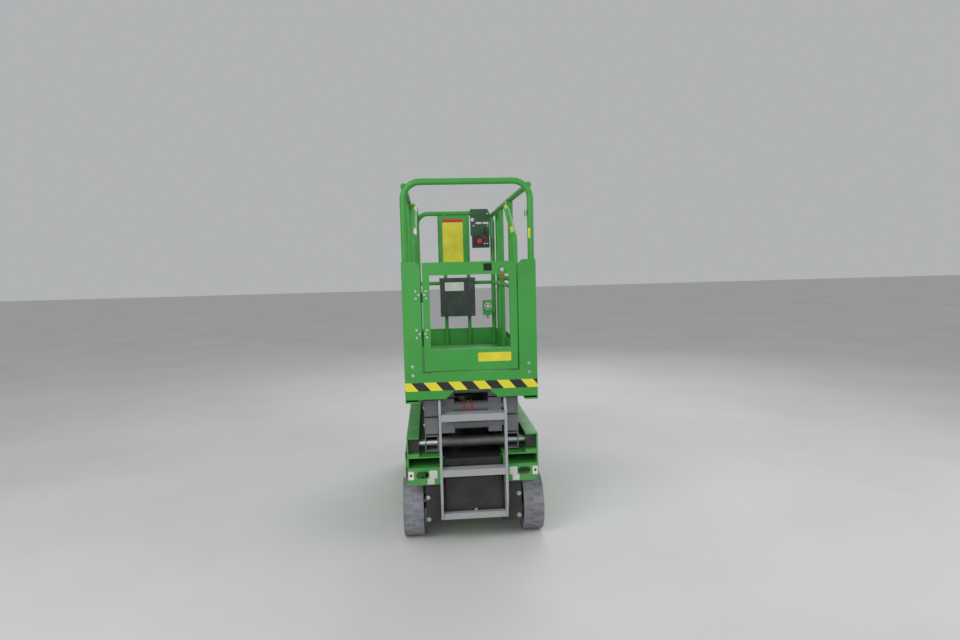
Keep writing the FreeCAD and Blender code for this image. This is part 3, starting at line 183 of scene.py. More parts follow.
# Control box
STOP_X, STOP_Z = 0.1871, 1.766
STOP_R = 0.024
STOP_DEPTH = 0.027                  # stop button's head, ahead of the box's rearmost point
LEVER = (0.234, 0.7387, 1.8125)
BOOT_FOLDS = 5
BOOT_FOLD_H = 0.007
BOOT_CREST = (0.0185, 0.0016)       # radius of the lowest crest, and how much each next one is smaller
BOOT_VALLEY = (0.0150, 0.0013)
SWITCH_XS = (0.228, 0.250)
SWITCH_Z = 1.745
LAMP_Z = 1.785
BRACKET_BOLTS = ((0.150, 1.890), (0.262, 1.890), (0.262, 1.985))

# Outlet box
OUTLET_CASE = 0.073                 # width of the case, without its bracket
OUTLET_RISE = 0.6                   # face's middle, as a share of the case's height
# Discs of the outlet's face: piece, material, radius and height
OUTLET_DISCS = (("outlet_face", "white_label", 0.029, 0.0008),
                ("outlet_ring", "black_plastic", 0.0215, 0.003),
                ("outlet_middle", "white_label", 0.0145, 0.0045))
OUTLET_SIDES = 40
CHAMFER = 0.3                       # chamfer of a disc, as a share of its height
SLOT_ANGLES = (0.5, 2.6, 4.7)
SLOT_RING = 0.007                   # slots round the outlet's middle
OUTLET_SCREW_IN = 0.008

# Bumper, tail and ladder
LASH_X, LASH_Z = 0.354, 0.403       # mark on the right outer label
MOTOR_BOLTS = ((-0.260, 0.262), (-0.260, 0.134), (0.260, 0.262), (0.260, 0.134))
TAIL_BOLT = (0.010, 0.187)
TAIL_SCREWS = ((-0.148, 0.172), (-0.148, 0.290), (0.148, 0.172), (0.148, 0.290))
PLANE_NEAR = 0.001                  # a face whose middle is this near a plane counts as on it
GIRDER_PROBE = 0.05                 # place on the girder's top, ahead of the tail panel
DIMPLE_ROWS = (0.014, 0.030, 0.046)     # rows ahead of the ladder's rear
DIMPLE_COUNT = 13                   # in the outer rows; the middle one has one more
DIMPLE_PITCH = 0.025
TREAD_BELOW = 0.03                  # start of the lines below the ladder's top, for the upper tread
TREAD_ABOVE = 0.55                  # height from which the lines reach the lower tread

# Wheels
WHEELS = ("rear_left", "rear_right", "front_left", "front_right")
NUT_COUNT = 6
NUT_RING = 0.068                    # nuts round a wheel's centre
HUB_PROBE = 0.02                    # place on the hub, beside its centre
KINGPINS = (("left", "steer"), ("right", "steer_right"))
KINGPIN_Z = 0.40

# Scissor stack
# Pins between arm frames: joint, then kind and level of the frame that carries the pin
PIN_CAPS = (("outer_1_fold", "inner", 1), ("outer_2_fold", "outer", 2), ("outer_3_fold", "outer", 3),
            ("inner_2_fold", "inner", 2), ("inner_3_fold", "inner", 3))
PIN_PROBE = Vector((0, 0.004, 0.003))   # place on a pin's end, beside its centre
CROSS_TUBE_R = 0.028                # cross tube that carries the hoses
HOSE_XS = (-0.041, 0.004)
HOSE_R = 0.0045
HOSE_SAG = 0.018                    # how far the hoses hang below the tube
HOSE_TURN = 30                      # degrees between the points of a hose round the tube
# Shafts: arm frame, and the joint whose axis runs along the shaft
SHAFTS = (("scissor_outer_1", "slides_lower_level"), ("scissor_inner_3", "slides_upper_level"),
          ("scissor_outer_3", "platform_level"), ("scissor_inner_1", "lift"))
SHAFT_R = 0.020
SHAFT_NEAR = 0.0005                 # play for the middles of a shaft's faces
SHAFT_TUBE_R = 0.031                # tube round the lowest rear shaft
SHAFT_TUBE_SIDES = 40
ARM_PROBE = 0.036                   # place on an arm's side, above the shaft

# Lift cylinder
PORTS = (0.11, 0.55)                # along the barrel from its foot
PORT_PROBE = 0.2                    # start of the lines, to the right of the barrel
PORT_HOSE_OUT = 0.012               # end of the hose in a port
BARREL_HOSE_R = 0.006
BARREL_HOSE_BEND = 0.05
BARREL_HOSE_BULGE = 0.006

# Trays
BATTERY_COUNT = 4
BATTERY_GAP = 0.010
CELL_CAPS = (0.25, 0.50, 0.75)      # places of the caps, as shares of a battery's length
TERMINAL_IN = 0.025                 # terminals inside a battery's ends
TERMINAL_X = 0.06                   # terminals to the right of a battery's middle
CABLE_R = 0.004
CABLE_RISE = 0.006
CABLE_BULGE = 0.012
KNOB_Y, KNOB_Z = 0.36, 0.25

# Studio and camera
FLOOR_REACH = 40.0
SKY_STRENGTH = 0.55
LAMP_AIM = Vector((0, 0, 0.9))
# Lamps: name, place, size and power
LAMPS = (("key", (-3.2, -4.5, 4.6), 3.0, 135.0), ("fill", (4.0, -2.0, 3.0), 3.5, 50.0),
         ("low", (-1.8, -8.5, 3.2), 3.0, 100.0), ("back", (1.5, 4.5, 4.5), 3.0, 90.0))
EYE = Vector((-0.219, -4.35, 1.575))
YAW, PITCH, ROLL = 0.078, -0.085, -0.025
SENSOR_WIDTH = 36.0
LENS = 24.0


class Graph:
    """A material with a Principled shader and short calls that add nodes to it."""

    def __init__(self, name):
        self.material = bpy.data.materials.new(name)
        self.material.use_nodes = True
        self.tree = self.material.node_tree
        self.shader = self.tree.nodes["Principled BSDF"]
        self.place = self.node("ShaderNodeTexCoord").outputs["Object"]

    def node(self, kind, values=(), **settings):
        """A new node whose sockets take the given values or links."""
        made = self.tree.nodes.new(kind)
        for key, value in settings.items():
            setattr(made, key, value)
        for key, value in dict(values).items():
            self.feed(made.inputs[key], value)
        return made

    def feed(self, socket, value):
        """Sets a socket, or links it where the value is another node's socket."""
        if isinstance(value, bpy.types.NodeSocket):
            self.tree.links.new(value, socket)
        elif socket.type == "RGBA" and len(value) == 3:
            socket.default_value = (*value, 1.0)
        else:
            socket.default_value = value

    def sum(self, operation, *values):
        """The result of a Math node."""
        return self.node("ShaderNodeMath", enumerate(values), operation=operation).outputs[0]

    def noise(self, scale, detail=3.0, roughness=0.55, stretch=None):
        """Noise from 0 to 1 over the object's own coordinates."""
        place = self.place
        if stretch:
            place = self.node("ShaderNodeMapping", {"Vector": place, "Scale": stretch}).outputs[0]
        values = {"Vector": place, "Scale": scale, "Detail": detail, "Roughness": roughness}
        return self.node("ShaderNodeTexNoise", values).outputs["Fac"]

    def span(self, value, start, end, to=(0.0, 1.0)):
        """A value mapped from one span to another and kept inside it."""
        values = {"Value": value, "From Min": start, "From Max": end, "To Min": to[0], "To Max": to[1]}
        return self.node("ShaderNodeMapRange", values).outputs[0]

    def mix(self, factor, first, second):
        """A colour between two colours."""
        made = self.node("ShaderNodeMix", data_type="RGBA")
        self.feed(made.inputs[0], factor)
        self.feed(made.inputs[6], first)
        self.feed(made.inputs[7], second)
        return made.outputs[2]

    def axis(self, name):
        """One of the object's own coordinates."""
        return self.node("ShaderNodeSeparateXYZ", {"Vector": self.place}).outputs[name]

    def rounded(self, radius):
        """The normal of edges that are softened by a radius."""
        return self.node("ShaderNodeBevel", {"Radius": radius}, samples=4).outputs[0]

    def edges(self, radius):
        """1 along convex and concave edges, 0 on flat faces."""
        soft = self.rounded(radius)
        hard = self.node("ShaderNodeNewGeometry").outputs["Normal"]
        dot = self.node("ShaderNodeVectorMath", {0: soft, 1: hard}, operation="DOT_PRODUCT")
        return self.span(dot.outputs["Value"], 0.97, 0.80)

    def relief(self, height, strength, distance, edge=None):
        """The normal of a fine relief, over softened edges where their radius is given."""
        values = {"Strength": strength, "Distance": distance, "Height": height}
        if edge:
            values["Normal"] = self.rounded(edge)
        return self.node("ShaderNodeBump", values).outputs[0]

    def finish(self, **values):
        """Feeds the shader's sockets and gives the material."""
        for key, value in values.items():
            self.feed(self.shader.inputs[key.replace("_", " ")], value)
        return self.material


def shade(colour, factor):
    """A colour made lighter or darker."""
    return tuple(min(1.0, c * factor) for c in colour)


def enamel(name, colour, gloss=0.38, wear=0.5, dusty=1.0, paint=None):
    """Brushed or powder-coated paint with uneven tone, scuffs, worn edges and dust low down."""
    g = Graph(name)
    base = paint(g) if paint else colour
    light = paint(g) if paint else shade(colour, 1.18)
    base = g.mix(g.span(g.noise(3.0), 0.3, 0.7), base, light)
    streaks = g.noise(45.0, detail=6.0, roughness=0.7, stretch=(0.25, 0.25, 1.0))
    base = g.mix(g.span(streaks, 0.62, 0.74, to=(0.0, 0.25 * wear)), base, PRIMER)
    spots = g.span(g.noise(70.0, detail=5.0), 0.48, 0.62, to=(0.0, wear))
    base = g.mix(g.sum("MULTIPLY", g.edges(0.004), spots), base, PRIMER)
    low = g.span(g.axis("Z"), 0.75, 0.05, to=(0.05 * dusty, 0.5 * dusty))
    dust = g.sum("MULTIPLY", low, g.span(g.noise(9.0, detail=5.0), 0.35, 0.75))
    base = g.mix(dust, base, DUST)
    rough = g.span(g.noise(14.0, detail=4.0), 0.3, 0.7, to=(gloss - 0.05, gloss + 0.14))
    grain = g.relief(g.noise(420.0, detail=2.0), strength=0.06, distance=0.001, edge=0.0018)
    return g.finish(Base_Color=base, Roughness=rough, Normal=grain)


def stripes(g):
    """Yellow and black diagonals on the band, and green below it."""
    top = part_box("rear_face")[1].z
    run = g.sum("ADD", g.axis("X"), g.sum("MULTIPLY", g.axis("Z"), STRIPE_LEAN))
    part = g.sum("FRACT", g.sum("DIVIDE", g.sum("ADD", run, STRIPE_SHIFT), STRIPE_PITCH))
    dark = g.sum("GREATER_THAN", part, 0.5)
    band = g.sum("GREATER_THAN", g.axis("Z"), top - BAND_HEIGHT)
    return g.mix(band, GREEN, g.mix(dark, YELLOW, BLACK))


def latch_paint(g):
    """Red grip at the foot of the gate's latch, and green above it."""
    low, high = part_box("gate_latch")
    above = g.sum("GREATER_THAN", g.axis("Z"), low.z + LATCH_GRIP * (high.z - low.z))
    return g.mix(above, RED, GREEN)


def bare_metal(name, colour, rough, brushed=0.2):
    """Machined or plated metal with fine lines and dull patches."""
    g = Graph(name)
    tone = g.mix(g.span(g.noise(25.0), 0.3, 0.7), shade(colour, 0.8), colour)
    tone = g.mix(g.span(g.noise(6.0, detail=6.0), 0.55, 0.75, to=(0.0, 0.35)), tone, DUST)
    lines = g.noise(90.0, stretch=(1.0, 6.0, 6.0))
    grain = g.relief(lines, strength=brushed, distance=0.0005, edge=0.0012)
    gloss = g.span(lines, 0.3, 0.7, to=(rough, rough + 0.16))
    return g.finish(Base_Color=tone, Roughness=gloss, Normal=grain, Metallic=1.0)


def moulded(name, colour, rough, coat=0.0):
    """Moulded plastic or rubber with a fine grain and a little dust."""
    g = Graph(name)
    tone = g.mix(g.span(g.noise(8.0, detail=4.0), 0.35, 0.7), colour, shade(colour, 1.35))
    tone = g.mix(g.span(g.noise(20.0, detail=6.0), 0.55, 0.8, to=(0.0, 0.25)), tone, DUST)
    grain = g.relief(g.noise(260.0, detail=2.0), strength=0.12, distance=0.0008, edge=0.0015)
    gloss = g.span(g.noise(30.0), 0.3, 0.7, to=(rough, rough + 0.12))
    return g.finish(Base_Color=tone, Roughness=gloss, Normal=grain, Coat_Weight=coat)


def rubber(name):
    """Pale solid rubber, scuffed darker on the tread and marked by dust."""
    g = Graph(name)
    patches = g.span(g.noise(11.0, detail=6.0, roughness=0.65), 0.35, 0.65)
    tone = g.mix(patches, shade(TYRE_GREY, 0.72), shade(TYRE_GREY, 1.12))
    marks = g.span(g.noise(38.0, detail=6.0, roughness=0.7), 0.56, 0.68, to=(0.0, 0.55))
    tone = g.mix(marks, tone, shade(TYRE_GREY, 0.45))
    low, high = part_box("tyre_rear_left")
    edge = (high.x - low.x) * TYRE_ROUNDING
    grain = g.relief(g.noise(120.0, detail=4.0), strength=0.3, distance=0.002, edge=edge)
    return g.finish(Base_Color=tone, Roughness=0.78, Normal=grain)


def printed(name, colour):
    """A blank printed label, a little faded and scratched."""
    g = Graph(name)
    tone = g.mix(g.span(g.noise(12.0, detail=5.0), 0.4, 0.7), colour, shade(colour, 0.82))
    scratches = g.span(g.noise(90.0, detail=6.0, roughness=0.7), 0.62, 0.72, to=(0.0, 0.35))
    return g.finish(Base_Color=g.mix(scratches, tone, DUST), Roughness=0.42)


def tread_floor(name):
    """Green floor plate with raised lozenges."""
    g = Graph(name)

    def wave(value, pitch):
        """Distance from the middle of a repeat, as a share of the pitch."""
        return g.sum("ABSOLUTE", g.sum("SUBTRACT", g.sum("FRACT", g.sum("DIVIDE", value, pitch)), 0.5))

    rows = []
    for sign in (1.0, -1.0):
        along = g.sum("ADD", g.axis("X"), g.sum("MULTIPLY", g.axis("Y"), sign))
        across = g.sum("SUBTRACT", g.axis("X"), g.sum("MULTIPLY", g.axis("Y"), sign))
        length = g.sum("MULTIPLY", wave(along, LOZENGE_PITCH * 2), 2.0)
        width = g.sum("MULTIPLY", wave(across, LOZENGE_PITCH), 3.2)
        rows.append(g.sum("ADD", length, width))
    lozenge = g.span(g.sum("MINIMUM", *rows), 0.34, 0.26)
    tone = g.mix(g.span(g.noise(5.0, detail=5.0), 0.35, 0.7), GREEN, shade(GREEN, 1.25))
    rubbed = g.span(g.noise(4.0, detail=5.0), 0.45, 0.65, to=(0.0, 0.55))
    tone = g.mix(g.sum("MULTIPLY", lozenge, rubbed), tone, PRIMER)
    tone = g.mix(g.span(g.noise(13.0, detail=6.0), 0.5, 0.8, to=(0.0, 0.4)), tone, DUST)
    bump = g.relief(lozenge, strength=0.6, distance=0.0015)
    return g.finish(Base_Color=tone, Roughness=0.5, Normal=bump)


MATERIALS = {
    "green": enamel("green_enamel", GREEN),
    "dark_green": enamel("dark_green_enamel", DARK_GREEN, gloss=0.45, wear=0.3),
    "arm_grey": enamel("grey_enamel", ARM_GREY, gloss=0.45, wear=0.6),
    "ladder_grey": enamel("light_grey_enamel", LADDER_GREY, gloss=0.42, wear=0.7),
    "black_steel": enamel("black_enamel", BLACK, gloss=0.42, wear=0.25, dusty=0.25),
    "stripe": enamel("striped_enamel", GREEN, gloss=0.4, wear=0.25, dusty=0.5, paint=stripes),
    "rim": enamel("white_enamel", RIM_WHITE, gloss=0.4, wear=0.4),
    "steel": bare_metal("plated_steel", STEEL, rough=0.28),
    "worn_steel": bare_metal("worn_steel", WORN_STEEL, rough=0.5, brushed=0.35),
    "chrome": bare_metal("hard_chrome", CHROME, rough=0.08, brushed=0.03),
    "tyre_grey": rubber("pale_rubber"),
    "wear_pad": moulded("dark_pad", PAD_BLACK, rough=0.5),
    "black_plastic": moulded("black_plastic", BLACK, rough=0.42),
    "red_plastic": moulded("red_plastic", RED, rough=0.28, coat=0.3),
    "dark_box": moulded("dark_box_plastic", BOX_BLACK, rough=0.45),
    "yellow_label": printed("yellow_print", YELLOW),
    "white_label": printed("white_print", PAPER),
    "red_label": printed("red_print", RED),
    "latch": enamel("latch_enamel", RED, gloss=0.4, wear=0.3, paint=latch_paint),
    "floor": tread_floor("tread_floor"),
    "red_hose": moulded("red_hose", RED, rough=0.4),
    "black_rubber": moulded("black_rubber", RUBBER_BLACK, rough=0.6),
    "black_print": printed("black_print", BLACK),
}


def smooth(mesh):
    """Smooth shading, with sharp edges between faces that meet at a clear angle."""
    mesh.shade_smooth()
    mesh.set_sharp_from_angle(angle=math.radians(SMOOTH_BELOW))


def dress_nodes():
    """Gives every CAD node the material of its slot."""
    slots = {part["node"]: part["material_slot"] for part in frame["record"]["subparts"]}
    for name, node in NODES.items():
        mesh = node.data
        mesh.materials.clear()
        mesh.materials.append(MATERIALS[slots[name]])
        smooth(mesh)
    for name, material in (("deck_plate", "floor"), ("extension_deck", "floor"), ("gate_latch", "latch")):
        NODES[name].data.materials[0] = MATERIALS[material]


def paint_faces(node, material, chosen):
    """Gives another material to the faces of a node whose middle passes a test."""
    mesh = NODES[node].data
    mesh.materials.append(MATERIALS[material])
    for face in mesh.polygons:
        if chosen(face.center):
            face.material_index = len(mesh.materials) - 1


def pivot_of(name):
    """The place of a joint's axis."""
    return Vector(JOINTS[name]["pos_m"])


def seated(node, place, toward):
    """The point where a line from a place first meets a node."""
    hit, spot = NODES[node].ray_cast(Vector(place), Vector(toward))[:2]
    assert hit, (node, place)
    return spot


class Kit:
    """One joined mesh of small like things on one body."""

    def __init__(self, name, body, material):
        self.name = name
        self.body = body
        self.material = MATERIALS[material]
        self.mesh = bmesh.new()

    def turned(self, profile, centre, axis, sides=24):
        """A turned form; its profile is (radius, height) pairs along the axis."""
        turn = Vector(axis).normalized().to_track_quat("Z", "Y").to_matrix().to_4x4()
        frame_at = Matrix.Translation(centre) @ turn
        rings = []
        for radius, height in profile:
            ring = []
            for i in range(sides):
                a = 2 * math.pi * i / sides
                spot = Vector((radius * math.cos(a), radius * math.sin(a), height))
                ring.append(self.mesh.verts.new(frame_at @ spot))
            rings.append(ring)
        self.join(rings)

    def form(self, name, centre, axis):
        """One of the turned forms of the list."""
        sides, profile = FORMS[name]
        self.turned(profile, centre, axis, sides)

    def bolt(self, centre, axis, kind):
        """A hexagon head with a chamfer, on a round washer."""
        r, h = HEADS[kind]
        self.turned([(r * 1.35, 0), (r * 1.35, h * 0.25), (r * 1.25, h * 0.3)], centre, axis, 20)
        self.turned([(r, h * 0.3), (r, h * 0.85), (r * 0.86, h)], centre, axis, 6)

    def plate(self, corner, u, v, depth, r=0.0):
        """A plate with round corners, spanned by two edge vectors and raised along their normal."""
        corner, u, v = Vector(corner), Vector(u), Vector(v)
        wide, high = u.length, v.length
        u, v = u.normalized(), v.normalized()
        lift = u.cross(v) * depth
        outline = []
        corners = ((wide - r, r, -0.5), (wide - r, high - r, 0.0), (r, high - r, 0.5), (r, r, 1.0))
        for cx, cy, start in corners:
            for i in range(CORNER_STEPS + 1 if r else 1):
                a = math.pi * (start + 0.5 * i / CORNER_STEPS)
                outline.append(corner + u * (cx + r * math.cos(a)) + v * (cy + r * math.sin(a)))
        base = [self.mesh.verts.new(p) for p in outline]
        top = [self.mesh.verts.new(p + lift) for p in outline]
        self.join([base, top])

    def hose(self, points, r, steps=6):
        """A round hose on a smooth curve through the points."""
        points = [Vector(p) for p in points]
        path = []
        for i in range(len(points) - 1):
            before, after = points[max(i - 1, 0)], points[min(i + 2, len(points) - 1)]
            a, b = points[i], points[i + 1]
            for k in range(steps):
                t = k / steps
                slope = (b - before) * t
                bend = (2 * before - 5 * a + 4 * b - after) * t ** 2
                twist = (3 * a - before - 3 * b + after) * t ** 3
                path.append(0.5 * (2 * a + slope + bend + twist))
        path.append(points[-1])
        turns = [2 * math.pi * j / HOSE_SIDES for j in range(HOSE_SIDES)]
        rings = []
        normal = (path[1] - path[0]).orthogonal().normalized()
        for i, spot in enumerate(path):
            along = (path[min(i + 1, len(path) - 1)] - path[max(i - 1, 0)]).normalized()
            normal = (normal - along * normal.dot(along)).normalized()
            side = along.cross(normal)
            ways = [normal * math.cos(a) + side * math.sin(a) for a in turns]
            rings.append([self.mesh.verts.new(spot + way * r) for way in ways])
        self.join(rings)

    def join(self, rings):
        """Skins a row of equal rings and closes both ends."""
        for lower, upper in zip(rings, rings[1:]):
            for i in range(len(lower)):
                j = (i + 1) % len(lower)
                self.mesh.faces.new((lower[i], lower[j], upper[j], upper[i]))
        self.mesh.faces.new(rings[0][::-1])
        self.mesh.faces.new(rings[-1])

    def patch(self, start, end, facing, spread=PATCH_SPREAD):
        """A label bent round a guardrail tube between two points of the tube's axis."""
        start, end = Vector(start), Vector(end)
        along = (end - start).normalized()
        out = (Vector(facing) - along * along.dot(Vector(facing))).normalized()
        side = along.cross(out)
        turns = [spread * (k / PATCH_STEPS - 0.5) for k in range(PATCH_STEPS + 1)]
        outline = [(out * math.cos(a) + side * math.sin(a), TUBE_R + THIN) for a in turns]
        outline += [(out * math.cos(a) + side * math.sin(a), TUBE_R) for a in reversed(turns)]
        rings = []
        for spot in (start, end):
            rings.append([self.mesh.verts.new(spot + way * reach) for way, reach in outline])
        self.join(rings)

    def done(self):
        """Turns the collected forms into a piece that rides on its body."""
        data = bpy.data.meshes.new(self.name)
        bmesh.ops.recalc_face_normals(self.mesh, faces=self.mesh.faces)
        self.mesh.to_mesh(data)
        self.mesh.free()
        data.materials.append(self.material)
        smooth(data)
        piece = bpy.data.objects.new(self.name, data)
        bpy.context.scene.collection.objects.link(piece)
        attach(piece, self.body)


def bolts(name, body, node, places, toward, kind, material="steel"):
    """Bolt heads where lines from a list of places meet a node."""
    kit = Kit(name, body, material)
    for place in places:
        kit.bolt(seated(node, place, toward), -Vector(toward), kind)
    kit.done()


def rear_bolts(name, body, node, places, kind, material="steel", start=BEHIND):
    """Bolt heads on faces that look to the rear, at (x, z) places."""
    bolts(name, body, node, [(x, start, z) for x, z in places], AHEAD, kind, material)


def label(name, body, node, material, x, z, corner=LABEL_CORNER):
    """A blank label on the rear of a node, between two x and two z values."""
    middle = ((x[0] + x[1]) / 2, BEHIND, (z[0] + z[1]) / 2)
    face = seated(node, middle, AHEAD).y
    kit = Kit(name, body, material)
    kit.plate((x[0], face, z[0]), (x[1] - x[0], 0, 0), (0, 0, z[1] - z[0]), THIN, corner)
    kit.done()


def hinge_places(leaf):
    """Three bolt places in an arrow for each hinge."""
    outer, middle = leaf
    places = []
    for z in HINGES:
        places += [(outer, z + HINGE_BOLT), (middle, z), (outer, z - HINGE_BOLT)]
    return places


def gate_details():
    """Hinge bolts, latch bolt, blank label and the barred window of the gate."""
    rear_bolts("gate_hinge_bolts", "gate", "gate_frame", hinge_places(GATE_LEAF), "hinge")
    rear_bolts("gate_latch_bolt", "gate", "gate_latch", [LATCH_BOLT], "latch")
    label("gate_label", "gate", "gate_frame", "yellow_label", *LABELS["gate_label"], GATE_LABEL_CORNER)
    low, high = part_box("gate_frame")
    foot = high.z - WINDOW_BELOW
    kit = Kit("gate_window", "gate", "black_plastic")
    kit.plate((WINDOW_LEFT, low.y + WINDOW_DEPTH, foot), (WINDOW_W, 0, 0), (0, 0, WINDOW_H), PANE_T)
    kit.done()
    kit = Kit("gate_window_bars", "gate", "black_steel")
    for i in range(BAR_COUNT):
        x = WINDOW_LEFT + WINDOW_W * (i + 0.5) / BAR_COUNT
        kit.turned([(BAR_R, 0), (BAR_R, WINDOW_H)], (x, low.y + BAR_DEPTH, foot), UP, BAR_SIDES)
    kit.done()


def post_details():
    """Bolts that hold the posts to the platform, and those of the gate's hinge leaves."""
    rear_bolts("post_bolts", "platform", "rear_posts", POST_BOLTS, "post")
    rear_bolts("hinge_leaf_bolts", "platform", "rear_posts", hinge_places(POST_LEAF), "hinge")


def rail_details():
    """Bent labels on the rails, and the pull pin on the rear hoop's right leg."""
    low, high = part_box("extension_rail_right")
    x = high.x - TUBE_R
    knee = Vector((x, low.y + TUBE_R, low.z + KNEE_H))
    head = Vector((x, knee.y + SLOPE, high.z - TUBE_R))
    lean = (head - knee).normalized()
    slope_label = [head - lean * reach for reach in SLOPE_LABEL]
    knee_label = [knee + lean * reach for reach in KNEE_LABEL]
    for name, side in SIDES:
        flip = Vector((side, 1, 1))
        toward = Vector(SLOPE_FACING) * flip
        kit = Kit("slope_labels_" + name, "extension", "yellow_label")
        kit.patch(slope_label[0] * flip, slope_label[1] * flip, toward)
        kit.done()
        kit = Kit("knee_labels_" + name, "extension", "yellow_label" if side > 0 else "white_label")
        kit.patch(knee_label[0] * flip, knee_label[1] * flip, toward)
        kit.done()
    low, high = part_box("rear_hoop")
    leg = Vector((high.x - TUBE_R, (low.y + high.y) / 2, 0))
    kit = Kit("hoop_strip", "platform", "yellow_label")
    kit.patch(leg + UP * STRIP_HEIGHTS[0], leg + UP * STRIP_HEIGHTS[1], STRIP_FACING, STRIP_SPREAD)
    kit.done()
    kit = Kit("pull_pin_ear", "platform", "green")
    edge = leg.x - TUBE_R + EAR_SINK
    corner = (edge - EAR_W + EAR_SINK, leg.y - EAR_BACK, EAR_Z)
    kit.plate(corner, (EAR_W, 0, 0), (0, 0, EAR_H), EAR_T, EAR_CORNER)
    kit.done()
    kit = Kit("pull_pin", "platform", "steel")
    kit.form("pull_pin", (edge - PIN_IN, leg.y - PIN_BACK, PIN_Z), UP)
    kit.done()


def panel_details():
    """Blank labels of the instruction panel and the manual box."""
    for name, node, material in (("panel_label", "instruction_panel", "yellow_label"),
                                 ("panel_strip", "instruction_panel", "red_label"),
                                 ("manual_label", "manual_box", "white_label")):
        label(name, "extension", node, material, *LABELS[name])


def control_details():
    """Red stop button, lever boot, switches and lamps of the platform control box."""
    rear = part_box("control_box")[0].y

    def on_stop(spot):
        """Whether a point lies on the stop button's head."""
        return spot.y < rear + STOP_DEPTH and math.hypot(spot.x - STOP_X, spot.z - STOP_Z) < STOP_R

    paint_faces("control_box", "red_plastic", on_stop)
    kit = Kit("lever_boot", "extension", "black_rubber")
    rings = []
    for i in range(BOOT_FOLDS):
        foot = BOOT_FOLD_H * i
        rings.append((BOOT_CREST[0] - BOOT_CREST[1] * i, foot))
        rings.append((BOOT_VALLEY[0] - BOOT_VALLEY[1] * i, foot + BOOT_FOLD_H / 2))
    kit.turned(rings, LEVER, UP)
    kit.done()
    for name, material, form, z in (("control_switches", "steel", "switch", SWITCH_Z),
                                    ("control_lamps", "red_plastic", "lamp", LAMP_Z)):
        kit = Kit(name, "extension", material)
        for x in SWITCH_XS:
            kit.form(form, seated("control_box", (x, INSIDE, z), AHEAD), -AHEAD)
        kit.done()
    rear_bolts("bracket_bolts", "extension", "control_bracket", BRACKET_BOLTS, "bracket", start=INSIDE)


def outlet_details():
    """Pale face with a dark ring on the outlet box, and the cable gland under it."""
    low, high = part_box("outlet_box")
    case = low.x + OUTLET_CASE
    middle = (low.x + case) / 2
    spot = seated("outlet_box", (middle, INSIDE, low.z + OUTLET_RISE * (high.z - low.z)), AHEAD)
    for name, material, r, h in OUTLET_DISCS:
        kit = Kit(name, "extension", material)
        kit.turned([(r, 0), (r, h * (1 - CHAMFER)), (r - h * CHAMFER, h)], spot, -AHEAD, OUTLET_SIDES)
        kit.done()
    kit = Kit("outlet_slots", "extension", "black_plastic")
    proud = OUTLET_DISCS[-1][3]
    for a in SLOT_ANGLES:
        hole = Vector((SLOT_RING * math.cos(a), -proud, SLOT_RING * math.sin(a)))
        kit.form("outlet_slot", spot + hole, -AHEAD)
    kit.done()
    kit = Kit("outlet_gland", "extension", "steel")
    kit.form("gland", (middle, (low.y + high.y) / 2, low.z), DOWN)
    kit.done()
    inset = OUTLET_SCREW_IN
    corners = [(x, z) for x in (low.x + inset, case - inset) for z in (low.z + inset, high.z - inset)]
    rear_bolts("outlet_screws", "extension", "outlet_box", corners, "outlet", start=INSIDE)


def bumper_details():
    """Blank white labels on the rear bumper, and a black mark on the outer ones."""
    for name, side in SIDES:
        for kind in ("lash_label", "wide_label", "low_label"):
            x, z = LABELS[kind]
            x = sorted((side * x[0], side * x[1]))
            label(kind + "_" + name, "chassis", "rear_bumper", "white_label", x, z)
        kit = Kit("lash_marks_" + name, "chassis", "black_print")
        face = seated("rear_bumper", (side * LASH_X, BEHIND, LASH_Z), AHEAD).y - THIN
        kit.form("lash_mark", (side * LASH_X, face, LASH_Z), -AHEAD)
        kit.done()


def tail_details():
    """Bolts of the motor brackets and the tail panel, black on the trim and on the girder's rear end, and
    painted shade in black on the girder's top face.
    """
    rear_bolts("motor_bolts", "chassis", "rear_drive", MOTOR_BOLTS, "motor")
    low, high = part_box("tail_panel")
    top = seated("chassis_core", (0, high.y + GIRDER_PROBE, ABOVE), DOWN).z
    paint_faces("tail_trim", "black_steel", lambda spot: spot.z > low.z + PLANE_NEAR)
    # Black on the girder's rear end, and black as painted shade on the girder's top face
    paint_faces("chassis_core", "black_steel",
                lambda spot: spot.y < high.y + PLANE_NEAR or abs(spot.z - top) < PLANE_NEAR)
    rear_bolts("tail_bolt", "chassis", "tail_panel", [TAIL_BOLT], "tail")
    rear_bolts("tail_screws", "chassis", "tail_panel", TAIL_SCREWS, "tail_screw", "black_steel")


def ladder_details():
    """Rows of raised dimples on the ladder's two treads."""
    low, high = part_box("entry_ladder")
    kit = Kit("tread_dimples", "chassis", "ladder_grey")
    for start in (high.z - TREAD_BELOW, TREAD_ABOVE):
        for row, ahead in enumerate(DIMPLE_ROWS):
            count = DIMPLE_COUNT + row % 2
            for i in range(count):
                x = (i - (count - 1) / 2) * DIMPLE_PITCH
                kit.form("dimple", seated("entry_ladder", (x, low.y + ahead, start), DOWN), UP)
    kit.done()


